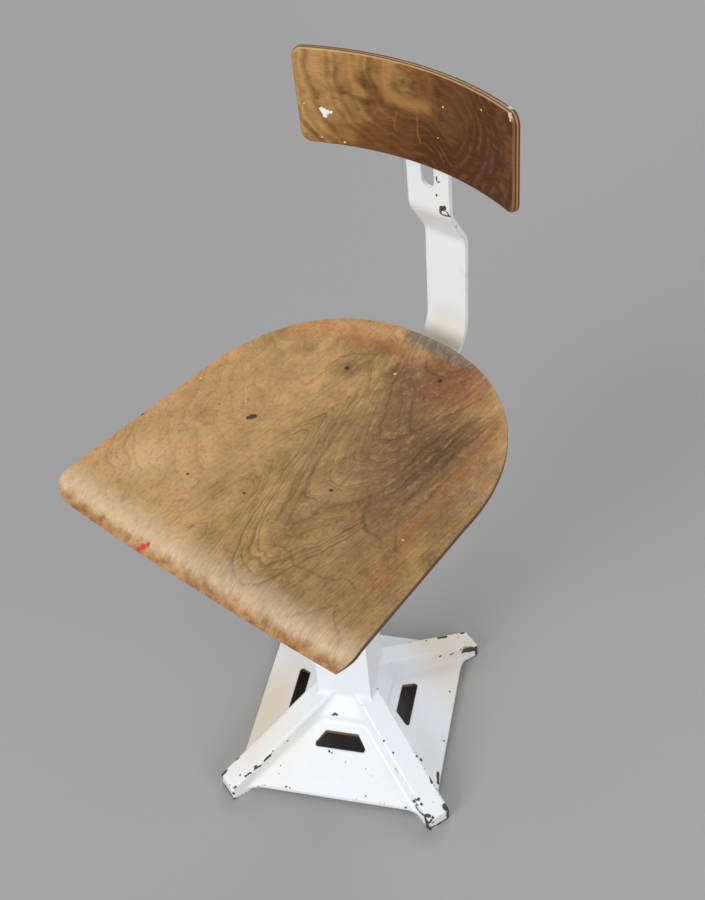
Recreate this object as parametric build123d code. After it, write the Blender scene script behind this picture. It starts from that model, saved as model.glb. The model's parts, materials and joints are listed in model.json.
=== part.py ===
from build123d import *
import os
from math import cos, radians, sin, sqrt, tan

# A swivel work chair: cast base with a square column, sliding pillar, dished plywood seat,
# slotted flat-bar upright and a curved plywood backrest.
# Millimetres, +Z up, sitter faces -Y. The origin is on the floor, on the swivel axis.

# Clearances
RUN_GAP = 0.05            # radial gap of a running fit
FREE_GAP = 0.3            # gap between pieces that pass each other
SLIDE_GAP = 0.15          # gap on each face of the upright, where the backrest slides on it
SEAT_GAP = 0.15           # gap under glued or screwed wood
OVERCUT = 1.0             # length that a cut runs past the face it opens

# Base casting, in its own frame, whose sides are parallel to X and Y
BASE_TURN = 26.8          # turn of the base against the seat, degrees
TOE_REACH = 180.0         # swivel axis to the end of a toe
TOE_HEIGHT = 19.3
TOE_PAD = 30.0            # length of a toe that stands on the floor
LEG_WIDTH = 28.5
LEG_SLOPE = 0.52          # rise per length along a leg's top
LEG_ROUND = 3.0
TOE_ROUND = 1.5
SKIN_RUN_ON = 90.0        # length of a leg past its toe before the casting is trimmed
CAST_ROUND = 6.0          # fillet in the inner corners of the casting
POST_ROUND = 16.0         # round between a leg's side and the shoulder's upright wall
LEG_SKIN = 8.0
PANEL_EDGE = 119.5        # swivel axis to the straight lower edge of a panel
PANEL_PEAK = 90.3         # height at which the four panel planes would meet
PANEL_SLOPE = 0.66
PANEL_WALL = 6.0
RIM_Z = 6.0               # lowest level of a panel's rim
RIM_SWEEP = 34.0          # radius of the concave sweep from a rim into a toe
WINDOW_TOP = 57.6         # distance of a window's upper edge from the axis
WINDOW_LOW = 74.7
WINDOW_TOP_WIDTH = 39.0
WINDOW_LOW_WIDTH = 67.0
WINDOW_ROUND = 3.0
SHOULDER_HALF = 48.0      # half width of the shoulder round the column's foot
SHOULDER_STEP = 9.0       # its step above the panels
SHOULDER_TOP = 89.0
COLUMN_HALF_LOW = 32.0    # half width of the square column at the shoulder
COLUMN_HALF_TOP = 30.0
COLUMN_ROUND = 4.0
COLUMN_TOP = 330.0
COLUMN_WALL = 7.5
HEAD_HALF = 34.0          # thicker head of the column, where the bush and the clamp screw are
HEAD_HEIGHT = 46.0
HEAD_SOLID = 60.0         # height of the column's top that is solid round the bush
WEB_Z = 196.0             # web inside the column, with the lower bush
WEB_HEIGHT = 20.0

# Pillar and its guides
PILLAR_R = 16.0
PILLAR_LOW = 96.0         # lower end at rest
PILLAR_TOP = 404.0        # face of the pillar's flange
FLANGE_R = 24.0
FLANGE_HEIGHT = 8.0
BUSH_WALL = 6.0
UPPER_BUSH_HEIGHT = 46.0
SPIGOT_R = 11.0
SPIGOT_TOP = 453.0
HEIGHT_UP = 80.0          # travel of the pillar above its rest height
STOP_RING_R = 20.5
STOP_RING_HEIGHT = 12.0
STOP_PIN_R = 3.0

# Clamp screw of the pillar, on the column's rear side
CLAMP_Z = 306.0
CLAMP_R = 6.0
CLAMP_PAD_R = 4.5
CLAMP_PAD_LENGTH = 5.0
CLAMP_BOSS_R = 16.0
CLAMP_BOSS_Y = 42.0       # outer face of the boss
CLAMP_HEAD_R = 10.0
CLAMP_HEAD_LENGTH = 20.0
CLAMP_HEAD_GAP = 6.0
TOMMY_R = 4.5
TOMMY_LENGTH = 92.0
TOMMY_BALL_R = 8.0

# Seat panel
SEAT_PLY = 8.0
SEAT_MID_Z = 458.6        # top of the seat on its centre line, where the front roll starts
SEAT_ROLL_Y = -168.0
SEAT_ROLL_R = 30.0
SEAT_ROLL_SWEEP = 63.0    # degrees that the front roll turns down
SEAT_RISE = 1.8           # slope of the seat's flat middle, degrees
SEAT_FLAT = 158.0         # length of the flat middle
SEAT_SCOOP_R = 784.0      # radius of the rising rear
SEAT_SCOOP_SWEEP = 14.5
SEAT_DISH = 8.0           # rise of the sides above the centre line
SEAT_FRONT_HALF = 185.5
SEAT_WAIST_HALF = 177.2   # half width where the rounded rear starts
SEAT_WAIST_Y = -9.9
SEAT_REAR = 170.8
SEAT_REAR_POWER = 2.25    # 2 is an ellipse, more is squarer
SEAT_REAR_STEP = 15        # degrees between the points that draw the rear
SEAT_CORNER_R = 22.0
SEAT_SIDE_LAP = 15.0      # sheet pressed beyond the outline, before it is cut
SEAT_ROOM = 32.0          # height above the sheet that is kept clear of the spider

# Seat spider
HUB_R = 28.0
HUB_LOW = 408.0
HUB_TOP = 440.0
HUB_BUSH_WALL = 4.0
ARM_LOW = 436.0
ARM_TOP = 449.0
ARM_WIDTH_AT_HUB = 44.0
ARM_TIP_R = 13.3
ARM_RIB = 9.0             # thickness of the rib under an arm
ARM_RIB_LOW = 417.0       # its lower edge at the hub
PAD_X = 105.0
PAD_FRONT_Y = -100.0
PAD_REAR_Y = 70.0
PAD_R = 19.0
PAD_SCREW_OFFSET = 9.0
NUT_POCKET_R = 23.0

# Wood and machine screws
WOOD_SCREW_R = 2.2
WOOD_HEAD_R = 4.6
WOOD_HEAD = 2.6
WOOD_BITE = 5.5           # length of a screw in the plywood
KEEPER_SCREW_R = 2.5
KEEPER_HEAD_R = 4.5
KEEPER_HEAD = 2.4

# Swivel fasteners
THRUST_R = 25.0
SPIGOT_WASHER_R = 18.0
SPIGOT_WASHER = 2.0
SPIGOT_NUT_FLATS = 30.0
SPIGOT_NUT_HEIGHT = 10.0
CASTLE_SLOT = 3.8
CASTLE_DEPTH = 4.5
SPLIT_PIN_R = 1.6
SPLIT_PIN_LENGTH = 37.4
SPLIT_EYE_R = 2.6

# Upright: a flat bar bent in the YZ plane, given on its centre line
BAR_WIDTH = 50.0
BAR = 5.0
BAR_FOOT_Y = 100.0        # front end of the foot, under the seat
BAR_FOOT_Z = 457.5
BAR_STEM_Y = 207.5
JOGGLE_LOW_Z = 599.0
JOGGLE_TOP_Y = 182.3
JOGGLE_TOP_Z = 637.2
BAR_TOP_Z = 782.0
BACK_LEAN = 2.0           # forward lean of the upright's top, degrees
BAR_BEND_R = 39.5
JOGGLE_R = 24.0
SLOT_WIDTH = 14.4
SLOT_LOW_Z = 664.0        # lower end of the slot
SLOT_TOP_Z = 768.0
BAR_CORNER_R = 8.0

# Guide of the upright's foot, on the spider
GUIDE_FRONT = 92.0
GUIDE_REAR = 156.0
GUIDE_WALL = 9.0
GUIDE_FLOOR = 14.0
KEEPER_FRONT = 118.0
KEEPER_REAR = 150.0
KEEPER = 4.0
KEEPER_SCREW_INSET = 7.0
DEPTH_SCREW_Y = 136.0
DEPTH_SCREW_R = 5.0
DEPTH_NECK = 5.0
WING_HUB_R = 9.0
WING_HUB = 11.0
WING_SPAN = 21.0          # axis to the centre of a wing's round tip
WING_TIP_R = 6.5
WING_ROOT_R = 4.0
WING = 4.0

# Backrest, in a frame on the upright's front face at the panel's middle height
BACK_MID_Z = 743.2
BACK_PLY = 7.5
BACK_RADIUS = 293.7       # of its hollow front face
BACK_ARC = 49.0           # degrees that it spans
BACK_HEIGHT = 97.0
BACK_CORNER_R = 15.0
BACK_EDGE_R = 2.2
BRACKET = 3.6             # thickness of the bracket behind its middle
BRACKET_WIDTH = 92.0
BRACKET_HEIGHT = 62.0
BRACKET_CORNER_R = 10.0
BRACKET_BLANK = 14.0      # its thickness before the front is hollowed
BRACKET_SCREW_X = 36.0
BRACKET_SCREW_Z = 20.0
STUD_R = 6.0
STUD_HEAD_R = 12.0
STUD_HEAD = 1.8
STUD_Z = -8.0             # stud below the panel's middle
STUD_LENGTH = 28.0        # from the bracket's rear face
BACK_WASHER_R = 14.0
BACK_WASHER = 2.0


def rod(radius, z_low, z_high):
    """Upright cylinder on the Z axis between two levels."""
    return Pos(0, 0, (z_low + z_high) / 2) * Cylinder(radius, z_high - z_low)


def ring(outer, inner, z_low, z_high):
    """Upright ring on the Z axis."""
    return rod(outer, z_low, z_high) - rod(inner, z_low - OVERCUT, z_high + OVERCUT)


def frustum(half_low, z_low, half_high, z_high, corner=0.0):
    """Square frustum on the Z axis, with rounded upright edges if a corner radius is given."""
    def square(half, level):
        side = 2 * half
        flat = RectangleRounded(side, side, corner) if corner else Rectangle(side, side)
        return Pos(0, 0, level) * flat
    return loft([square(half_low, z_low), square(half_high, z_high)], ruled=True)


def around(shape, count=4, start=0.0):
    """Copies of a shape turned about the Z axis."""
    return [Rot(0, 0, start + 360 * i / count) * shape for i in range(count)]


def panel_z(reach, drop=0.0):
    """Height of a panel plane, or of one this much below it, at a distance from the axis."""
    return PANEL_PEAK - drop - PANEL_SLOPE * reach


def leg_z(reach):
    return TOE_HEIGHT + LEG_SLOPE * (TOE_REACH - reach)


def leg_bar(reach, width, drop, low):
    """One leg along +X: its side view extruded to a width, its top this much below the leg's face."""
    side = Polyline((0, low), (reach, low), (reach, leg_z(reach) - drop), (0, leg_z(0) - drop), close=True)
    return extrude(Plane.XZ * make_face(side), amount=width / 2, both=True)


def casting_skin():
    """Outside of the casting, run on below the floor and past the toes so that every fillet is whole."""
    low, far = -TOE_PAD, TOE_REACH + SKIN_RUN_ON
    peak_half = COLUMN_HALF_TOP / 2
    panels = frustum((PANEL_PEAK - low) / PANEL_SLOPE, low, peak_half, panel_z(peak_half))
    leg = leg_bar(far, LEG_WIDTH, 0.0, low)
    top_edges = leg.faces().sort_by(Axis.Z)[-1].edges().filter_by(Axis.Y, reverse=True)
    leg = fillet(top_edges, LEG_ROUND)
    step_top = panel_z(SHOULDER_HALF) + SHOULDER_STEP
    step = frustum(SHOULDER_HALF, RIM_Z, SHOULDER_HALF, step_top)
    slope = frustum(SHOULDER_HALF, step_top, COLUMN_HALF_LOW, SHOULDER_TOP)
    column = frustum(COLUMN_HALF_LOW, SHOULDER_TOP, COLUMN_HALF_TOP, COLUMN_TOP)
    skin = panels + around(leg, start=45) + [step, slope, column]
    skin = fillet(skin.edges().filter_by(Edge.is_interior).filter_by(Axis.Z), POST_ROUND)
    return fillet(skin.edges().filter_by(Edge.is_interior), CAST_ROUND)


def casting_plan():
    """Plan of the casting: straight rims between the toes, swept into them by concave curves."""
    plan = Rectangle(2 * PANEL_EDGE, 2 * PANEL_EDGE)
    plan += around(Pos(TOE_REACH / 2, 0) * Rectangle(TOE_REACH, LEG_WIDTH), start=45)
    inner_corners = [v for v in plan.vertices() if Vector(v.X, v.Y).length < TOE_REACH]
    return fillet(inner_corners, RIM_SWEEP)


def toe_block():
    """Space that one toe may fill between the floor and the rims."""
    heel = TOE_REACH - TOE_PAD
    side = Polyline((heel - RIM_Z, RIM_Z), (heel, 0), (TOE_REACH, 0), (TOE_REACH, RIM_Z), close=True)
    return extrude(Plane.XZ * make_face(side), amount=LEG_WIDTH / 2, both=True)


def casting_hollow():
    """Hollow under the panels and the legs, and the windows through the panels."""
    drop = PANEL_WALL * sqrt(1 + PANEL_SLOPE ** 2)
    half = COLUMN_HALF_TOP - COLUMN_WALL
    heel = TOE_REACH - TOE_PAD - RIM_Z
    under = frustum((PANEL_PEAK - drop) / PANEL_SLOPE, 0, half, panel_z(half, drop))
    under &= Rot(0, 0, 45) * Box(2 * heel, 2 * heel, 2 * PANEL_PEAK)
    groove = leg_bar(heel, LEG_WIDTH - 2 * PANEL_WALL, LEG_SKIN, -OVERCUT)
    top, low = WINDOW_TOP_WIDTH / 2, WINDOW_LOW_WIDTH / 2
    window = Polyline((-top, WINDOW_TOP), (top, WINDOW_TOP), (low, WINDOW_LOW), (-low, WINDOW_LOW), close=True)
    window = make_face(window)
    window = extrude(fillet(window.vertices(), WINDOW_ROUND), PANEL_PEAK)
    return [under] + around(groove, start=45) + around(window)


def column_bores():
    """Square cavity of the column below and above its web, the bush seats and the clamp screw's hole."""
    side = 2 * (COLUMN_HALF_TOP - COLUMN_WALL)
    spans = ((0, WEB_Z), (WEB_Z + WEB_HEIGHT, COLUMN_TOP - HEAD_SOLID))
    cavities = [Pos(0, 0, (low + top) / 2) * Box(side, side, top - low) for low, top in spans]
    bush_seat = rod(PILLAR_R + BUSH_WALL, WEB_Z - OVERCUT, COLUMN_TOP + OVERCUT)
    clamp_hole = Pos(0, CLAMP_BOSS_Y, CLAMP_Z) * Rot(90, 0, 0) * Cylinder(CLAMP_R + RUN_GAP, CLAMP_BOSS_Y)
    return cavities + [bush_seat, clamp_hole]


def base_casting():
    """Hollow ribbed pyramid on four toes, with the square column and its clamp boss cast in one."""
    room = Pos(0, 0, RIM_Z) * extrude(casting_plan(), COLUMN_TOP) + around(toe_block(), start=45)
    body = casting_skin() & room
    toe_ends = [f for f in body.faces() if Vector(f.center().X, f.center().Y).length > TOE_REACH - LEG_ROUND]
    end_edges = [e for f in toe_ends for e in f.edges() if e.center().Z > RIM_Z / 4]
    body = fillet(end_edges, TOE_ROUND)
    head = frustum(HEAD_HALF, COLUMN_TOP - HEAD_HEIGHT, HEAD_HALF, COLUMN_TOP, 2 * COLUMN_ROUND)
    head = fillet(head.edges().filter_by(GeomType.LINE).filter_by(Axis.Z, reverse=True), LEG_ROUND)
    boss = Pos(0, CLAMP_BOSS_Y / 2, CLAMP_Z) * Rot(90, 0, 0) * Cylinder(CLAMP_BOSS_R, CLAMP_BOSS_Y)
    body -= casting_hollow()
    return body + [head, boss] - column_bores()


def guide_bush(z_low, height, cross_hole=False):
    """Bush pressed into the column, with a hole for the clamp screw's pad if asked."""
    bush = ring(PILLAR_R + BUSH_WALL, PILLAR_R + RUN_GAP, z_low, z_low + height)
    if cross_hole:
        hole = Pos(0, PILLAR_R + BUSH_WALL, CLAMP_Z) * Rot(90, 0, 0)
        bush -= hole * Cylinder(CLAMP_R + RUN_GAP, 2 * BUSH_WALL + RUN_GAP)
    return bush


def clamp_parts():
    """Clamp screw with its pad, tommy bar and ball ends, along +Y from the pillar."""
    pad_start = PILLAR_R + FREE_GAP
    pad_end = pad_start + CLAMP_PAD_LENGTH
    head_start = CLAMP_BOSS_Y + CLAMP_HEAD_GAP
    head_end = head_start + CLAMP_HEAD_LENGTH
    aim = Pos(0, 0, CLAMP_Z) * Rot(-90, 0, 0)
    tommy = Pos(0, (head_start + head_end) / 2, CLAMP_Z) * Rot(0, 90, 0)
    tommy_bar = tommy * Cylinder(TOMMY_R, TOMMY_LENGTH)
    screw = aim * (rod(CLAMP_R, pad_end, head_start) + rod(CLAMP_HEAD_R, head_start, head_end)) - tommy_bar
    pad = aim * rod(CLAMP_PAD_R, pad_start, pad_end)
    ends = [tommy * Pos(0, 0, side * TOMMY_LENGTH / 2) * Sphere(TOMMY_BALL_R) for side in (-1, 1)]
    balls = Compound(children=[end - tommy_bar for end in ends])
    return {"clamp_screw": screw, "clamp_pad": pad, "clamp_tommy_bar": tommy_bar, "clamp_bar_ends": balls}


def pillar_parts():
    """Sliding pillar with its stop, thrust washer and the fasteners on its spigot."""
    ring_top = WEB_Z - HEIGHT_UP - FREE_GAP
    ring_low = ring_top - STOP_RING_HEIGHT
    pin_z = (ring_low + ring_top) / 2
    pin = Pos(0, 0, pin_z) * Rot(0, 90, 0) * Cylinder(STOP_PIN_R, 2 * STOP_RING_R)
    nut_low = HUB_TOP + SPIGOT_WASHER
    nut_top = nut_low + SPIGOT_NUT_HEIGHT
    split_z = nut_top - CASTLE_DEPTH / 2
    split_pin = Pos(0, 0, split_z) * Rot(0, 90, 0) * Cylinder(SPLIT_PIN_R, SPLIT_PIN_LENGTH)
    eye = Pos(SPLIT_PIN_LENGTH / 2, 0, split_z) * Rot(90, 0, 0) * Torus(SPLIT_EYE_R, SPLIT_PIN_R / 2)

    pillar = rod(PILLAR_R, PILLAR_LOW, PILLAR_TOP) + rod(FLANGE_R, PILLAR_TOP - FLANGE_HEIGHT, PILLAR_TOP)
    pillar += rod(SPIGOT_R, PILLAR_TOP, SPIGOT_TOP)
    nut_flat = RegularPolygon(SPIGOT_NUT_FLATS / 2, 6, major_radius=False, rotation=30)
    nut = Pos(0, 0, nut_low) * extrude(nut_flat, SPIGOT_NUT_HEIGHT)
    nut -= rod(SPIGOT_R, nut_low - OVERCUT, nut_top + OVERCUT)
    slot = Pos(0, 0, nut_top - CASTLE_DEPTH / 2) * Box(2 * SPIGOT_NUT_FLATS, CASTLE_SLOT, CASTLE_DEPTH)
    nut -= around(slot, 3)
    return {
        "pillar": pillar - pin - split_pin,
        "stop_ring": ring(STOP_RING_R, PILLAR_R, ring_low, ring_top) - pin,
        "stop_pin": pin,
        "thrust_washer": ring(THRUST_R, SPIGOT_R + RUN_GAP, PILLAR_TOP, HUB_LOW),
        "spigot_washer": ring(SPIGOT_WASHER_R, SPIGOT_R, HUB_TOP, nut_low),
        "spigot_nut": nut,
        "split_pin": split_pin + eye,
    }


def seat_section(x, top, thickness):
    """Section of the pressed seat sheet at one X, this far below the top face and this thick."""
    rise = SEAT_DISH * (x / SEAT_FRONT_HALF) ** 2
    along = Vector(cos(radians(SEAT_RISE)), sin(radians(SEAT_RISE)))
    up = Vector(-along.Y, along.X)
    start = Vector(SEAT_ROLL_Y, SEAT_MID_Z + rise)
    end = start + along * SEAT_FLAT
    roll_centre = start - up * SEAT_ROLL_R
    scoop_centre = end + up * SEAT_SCOOP_R

    def face_line(depth):
        roll = CenterArc(roll_centre, SEAT_ROLL_R - depth, 90 + SEAT_RISE, SEAT_ROLL_SWEEP)
        flat = Line(start - up * depth, end - up * depth)
        scoop = CenterArc(scoop_centre, SEAT_SCOOP_R + depth, SEAT_RISE - 90, SEAT_SCOOP_SWEEP)
        return [roll, flat, scoop]

    upper, lower = face_line(top), face_line(top + thickness)
    lip = Line(upper[0] @ 1, lower[0] @ 1)
    rear = Line(upper[2] @ 1, lower[2] @ 1)
    return Plane.YZ.offset(x) * make_face(upper + lower + [lip, rear])


def seat_sheet(top, thickness):
    """Pressed sheet before it is cut to its outline, lofted across the seat."""
    reach = SEAT_FRONT_HALF + SEAT_SIDE_LAP
    stations = [reach * step / 2 for step in (-2, -1, 0, 1, 2)]
    return loft([seat_section(x, top, thickness) for x in stations])


def seat_outline():
    """Plan of the seat: straight front and sides, rounded rear."""
    depth = SEAT_REAR - SEAT_WAIST_Y
    front = SEAT_ROLL_Y - SEAT_ROLL_R
    rear_points = []
    for angle in range(0, 181, SEAT_REAR_STEP):
        c, s = cos(radians(angle)), sin(radians(angle))
        x = abs(c) ** (2 / SEAT_REAR_POWER) * SEAT_WAIST_HALF
        y = abs(s) ** (2 / SEAT_REAR_POWER) * depth + SEAT_WAIST_Y
        rear_points.append((x if c > 0 else -x, y))
    side = Vector(SEAT_WAIST_HALF - SEAT_FRONT_HALF, SEAT_WAIST_Y - front)
    rear = Spline(*rear_points, tangents=(side, Vector(side.X, -side.Y)))
    left = Line((SEAT_FRONT_HALF, front), rear @ 0)
    right = Line(rear @ 1, (-SEAT_FRONT_HALF, front))
    face = make_face([left, rear, right, Line(right @ 1, left @ 0)])
    corners = face.vertices().sort_by(Axis.Y)[:2]
    return fillet(corners, SEAT_CORNER_R)


def pad_places():
    """Centres of the spider's four pads."""
    return [(side * PAD_X, y) for y in (PAD_FRONT_Y, PAD_REAR_Y) for side in (-1, 1)]


def seat_under_z(x, y):
    """Height of the seat's underside above a pad, from the flat middle's line."""
    run = y - SEAT_ROLL_Y
    rise = SEAT_DISH * (x / SEAT_FRONT_HALF) ** 2
    curl = max(0.0, run - SEAT_FLAT) ** 2 / (2 * SEAT_SCOOP_R)
    return SEAT_MID_Z + rise + run * tan(radians(SEAT_RISE)) + curl - SEAT_PLY


def wood_screw(length):
    """Round-head wood screw along +Z: its head hangs below the origin, its point is up."""
    return rod(WOOD_HEAD_R, -WOOD_HEAD, 0) + rod(WOOD_SCREW_R, 0, length)


def seat_screw_group():
    """Two wood screws through each pad into the seat."""
    screws = []
    for x, y in pad_places():
        for offset in (-PAD_SCREW_OFFSET, PAD_SCREW_OFFSET):
            length = seat_under_z(x, y) + WOOD_BITE - ARM_LOW
            screws.append(Pos(x, y + offset, ARM_LOW) * wood_screw(length))
    return screws


def seat_spider(cutters):
    """Cast hub with four ribbed arms, screw pads and the guide for the upright's foot."""
    body = rod(HUB_R, HUB_LOW, HUB_TOP)
    for x, y in pad_places():
        reach = Vector(x, y).length
        turn = Rot(0, 0, Vector(1, 0).get_signed_angle(Vector(x, y)))
        plan = make_hull((Circle(ARM_WIDTH_AT_HUB / 2) + Pos(reach, 0) * Circle(ARM_TIP_R)).edges())
        arm = Pos(0, 0, ARM_LOW) * extrude(plan, ARM_TOP - ARM_LOW)
        rib_top, rib_end = ARM_LOW + OVERCUT, reach - PAD_R
        side = Polyline((0, ARM_RIB_LOW), (0, rib_top), (rib_end, rib_top), (rib_end, ARM_LOW), close=True)
        rib = extrude(Plane.XZ * make_face(side), amount=ARM_RIB / 2, both=True)
        body += [turn * arm, turn * rib, Pos(x, y) * rod(PAD_R, ARM_LOW, seat_under_z(x, y) + SEAT_PLY)]
    guide_width = BAR_WIDTH + 2 * (GUIDE_WALL + FREE_GAP)
    floor_top = BAR_FOOT_Z - BAR / 2 - FREE_GAP
    wall_top = BAR_FOOT_Z + BAR / 2 + FREE_GAP
    guide_low = floor_top - GUIDE_FLOOR
    tail = Pos(0, GUIDE_REAR / 2, (guide_low + wall_top) / 2)
    body += tail * Box(guide_width, GUIDE_REAR, wall_top - guide_low)
    channel_length = GUIDE_REAR - GUIDE_FRONT + GUIDE_WALL
    channel = Pos(0, GUIDE_FRONT - GUIDE_WALL + channel_length / 2, (floor_top + wall_top) / 2)
    body -= channel * Box(BAR_WIDTH + 2 * FREE_GAP, channel_length + OVERCUT, wall_top - floor_top)
    over_hub = GUIDE_FRONT - GUIDE_WALL
    body -= Pos(0, over_hub / 2, ARM_TOP + GUIDE_FLOOR / 2) * Box(2 * guide_width, over_hub, GUIDE_FLOOR)
    body -= [rod(NUT_POCKET_R, HUB_TOP, ARM_TOP + GUIDE_FLOOR)]
    body -= [rod(SPIGOT_R + HUB_BUSH_WALL, HUB_LOW - OVERCUT, HUB_TOP + OVERCUT)]
    screw_hole = rod(DEPTH_SCREW_R + RUN_GAP, guide_low - OVERCUT, floor_top + OVERCUT)
    body -= Pos(0, DEPTH_SCREW_Y) * screw_hole
    return body - cutters


def wing_head():
    """Hub with two round-tipped wings, on +Z from the origin."""
    side = make_hull((Pos(0, WING_HUB / 2) * Circle(WING_ROOT_R)
                      + Pos(WING_SPAN, WING_HUB) * Circle(WING_TIP_R)).edges())
    wing = extrude(Plane.XZ * side, amount=WING / 2, both=True)
    return rod(WING_HUB_R, 0, WING_HUB) + around(wing, 2)


def keeper_parts():
    """Strap over the upright's foot, its four screws and the wing screw under the foot."""
    low = BAR_FOOT_Z + BAR / 2 + FREE_GAP
    width = BAR_WIDTH + 2 * (GUIDE_WALL + FREE_GAP)
    length = KEEPER_REAR - KEEPER_FRONT
    strap = Pos(0, (KEEPER_FRONT + KEEPER_REAR) / 2, low + KEEPER / 2) * Box(width, length, KEEPER)
    screw_x = BAR_WIDTH / 2 + FREE_GAP + GUIDE_WALL / 2
    screw = rod(KEEPER_HEAD_R, KEEPER, KEEPER + KEEPER_HEAD) + rod(KEEPER_SCREW_R, -GUIDE_FLOOR / 2, KEEPER)
    ends = (KEEPER_FRONT + KEEPER_SCREW_INSET, KEEPER_REAR - KEEPER_SCREW_INSET)
    screws = [Pos(side * screw_x, y, low) * screw for y in ends for side in (-1, 1)]
    tip = BAR_FOOT_Z - BAR / 2 - FREE_GAP / 2
    head = tip - FREE_GAP - GUIDE_FLOOR - DEPTH_NECK
    wing_screw = Rot(180, 0, 0) * wing_head()
    wing_screw = Pos(0, DEPTH_SCREW_Y, head) * wing_screw
    wing_screw += Pos(0, DEPTH_SCREW_Y) * rod(DEPTH_SCREW_R, head, tip)
    return strap - screws, screws, wing_screw


def bar_path():
    """Centre line of the upright, in the YZ plane."""
    top_y = JOGGLE_TOP_Y - (BAR_TOP_Z - JOGGLE_TOP_Z) * tan(radians(BACK_LEAN))
    foot = Polyline((BAR_FOOT_Y, BAR_FOOT_Z), (BAR_STEM_Y, BAR_FOOT_Z), (BAR_STEM_Y, JOGGLE_LOW_Z),
                    (JOGGLE_TOP_Y, JOGGLE_TOP_Z), (top_y, BAR_TOP_Z))
    corners = foot.vertices()[1:-1]
    wire = foot.wire().fillet_2d(BAR_BEND_R, corners[:1])
    bends = [v for v in wire.vertices() if v.Y > (BAR_FOOT_Z + JOGGLE_LOW_Z) / 2]
    bends = sorted(bends, key=lambda v: v.Y)[:2]
    return Plane.YZ * wire.fillet_2d(JOGGLE_R, bends)


def upright_front_y(z):
    """Front face of the upright's leaning top at a height."""
    return JOGGLE_TOP_Y - (z - JOGGLE_TOP_Z) * tan(radians(BACK_LEAN)) - BAR / 2 / cos(radians(BACK_LEAN))


def back_upright():
    path = bar_path()
    profile = Plane(origin=path @ 0, z_dir=path % 0, x_dir=(1, 0, 0)) * Rectangle(BAR_WIDTH, BAR)
    bar = sweep(profile, path=path)
    top_edges = [e for e in bar.edges() if e.center().Z > BAR_TOP_Z - BAR and abs(e.center().X) > BAR_WIDTH / 3]
    bar = fillet(top_edges, BAR_CORNER_R)
    slot_length = SLOT_TOP_Z - SLOT_LOW_Z
    slot = SlotOverall(slot_length, SLOT_WIDTH, rotation=90)
    cutter = extrude(Plane.XZ * slot, amount=2 * BAR_STEM_Y, both=True)
    return bar - Pos(0, 0, (SLOT_LOW_Z + SLOT_TOP_Z) / 2) * cutter


def backrest_frame():
    return Pos(0, upright_front_y(BACK_MID_Z), BACK_MID_Z) * Rot(BACK_LEAN, 0, 0)


def backrest_parts():
    """Backrest panel, its bracket, screws, stud, washer and wing nut, behind a hollow front face."""
    front_y = -BRACKET - BACK_PLY
    centre_y = front_y - BACK_RADIUS
    rear_radius = BACK_RADIUS + BACK_PLY
    low = -BACK_HEIGHT / 2
    curves = [CenterArc((0, centre_y), r, 90 - BACK_ARC / 2, BACK_ARC) for r in (BACK_RADIUS, rear_radius)]
    ends = [Line(curves[0] @ at, curves[1] @ at) for at in (0, 1)]
    panel = Pos(0, 0, low) * extrude(make_face(curves + ends), BACK_HEIGHT)
    corners = panel.edges().filter_by(GeomType.LINE).filter_by(Axis.Z, reverse=True)
    panel = fillet(corners, BACK_CORNER_R)
    broad_faces = panel.faces().sort_by(SortBy.AREA)[-2:]
    panel = fillet(broad_faces[0].edges() + broad_faces[1].edges(), BACK_EDGE_R)

    screw_length = 2 * BRACKET + WOOD_BITE
    screws = []
    for x in (-BRACKET_SCREW_X, BRACKET_SCREW_X):
        for z in (-BRACKET_SCREW_Z, BRACKET_SCREW_Z):
            screws.append(Pos(x, 0, z) * Rot(90, 0, 0) * wood_screw(screw_length))
    aim = Pos(0, 0, STUD_Z) * Rot(-90, 0, 0)
    head_rear = -BRACKET + STUD_HEAD
    stud = aim * (rod(STUD_HEAD_R, -BRACKET, head_rear) + rod(STUD_R, head_rear, STUD_LENGTH))
    bracket_face = Plane.XZ * RectangleRounded(BRACKET_WIDTH, BRACKET_HEIGHT, BRACKET_CORNER_R)
    bracket = Pos(0, -SLIDE_GAP) * extrude(bracket_face, amount=BRACKET_BLANK)
    bracket -= Pos(0, centre_y) * rod(rear_radius + SEAT_GAP, 2 * low, -2 * low)
    bracket -= screws + [stud]
    washer_front = BAR + SLIDE_GAP
    washer_rear = washer_front + BACK_WASHER
    washer = aim * ring(BACK_WASHER_R, STUD_R, washer_front, washer_rear)
    nut = aim * (Pos(0, 0, washer_rear) * wing_head() - rod(STUD_R + RUN_GAP, 0, STUD_LENGTH + OVERCUT))
    local = {
        "backrest_panel": panel - screws, "back_bracket": bracket, "back_stud": stud,
        "back_bracket_screws": Compound(children=screws), "back_washer": washer, "back_wing_nut": nut,
    }
    return {name: backrest_frame() * shape for name, shape in local.items()}


def seat_parts():
    """Seat panel, spider, bush, screws and the upright's guide pieces."""
    screws = seat_screw_group()
    panel = seat_sheet(0.0, SEAT_PLY) & extrude(seat_outline(), 2 * SEAT_MID_Z)
    strap, strap_screws, wing_screw = keeper_parts()
    above_pads = seat_sheet(-SEAT_ROOM, SEAT_ROOM + SEAT_PLY + SEAT_GAP)
    return {
        "seat_panel": panel - screws,
        "seat_spider": seat_spider([above_pads] + screws + strap_screws),
        "seat_screws": Compound(children=screws),
        "hub_bush": ring(SPIGOT_R + HUB_BUSH_WALL, SPIGOT_R + RUN_GAP, HUB_LOW, HUB_TOP),
        "bar_keeper": strap,
        "keeper_screws": Compound(children=strap_screws),
        "depth_wing_screw": wing_screw,
        "back_upright": back_upright(),
    }


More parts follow.
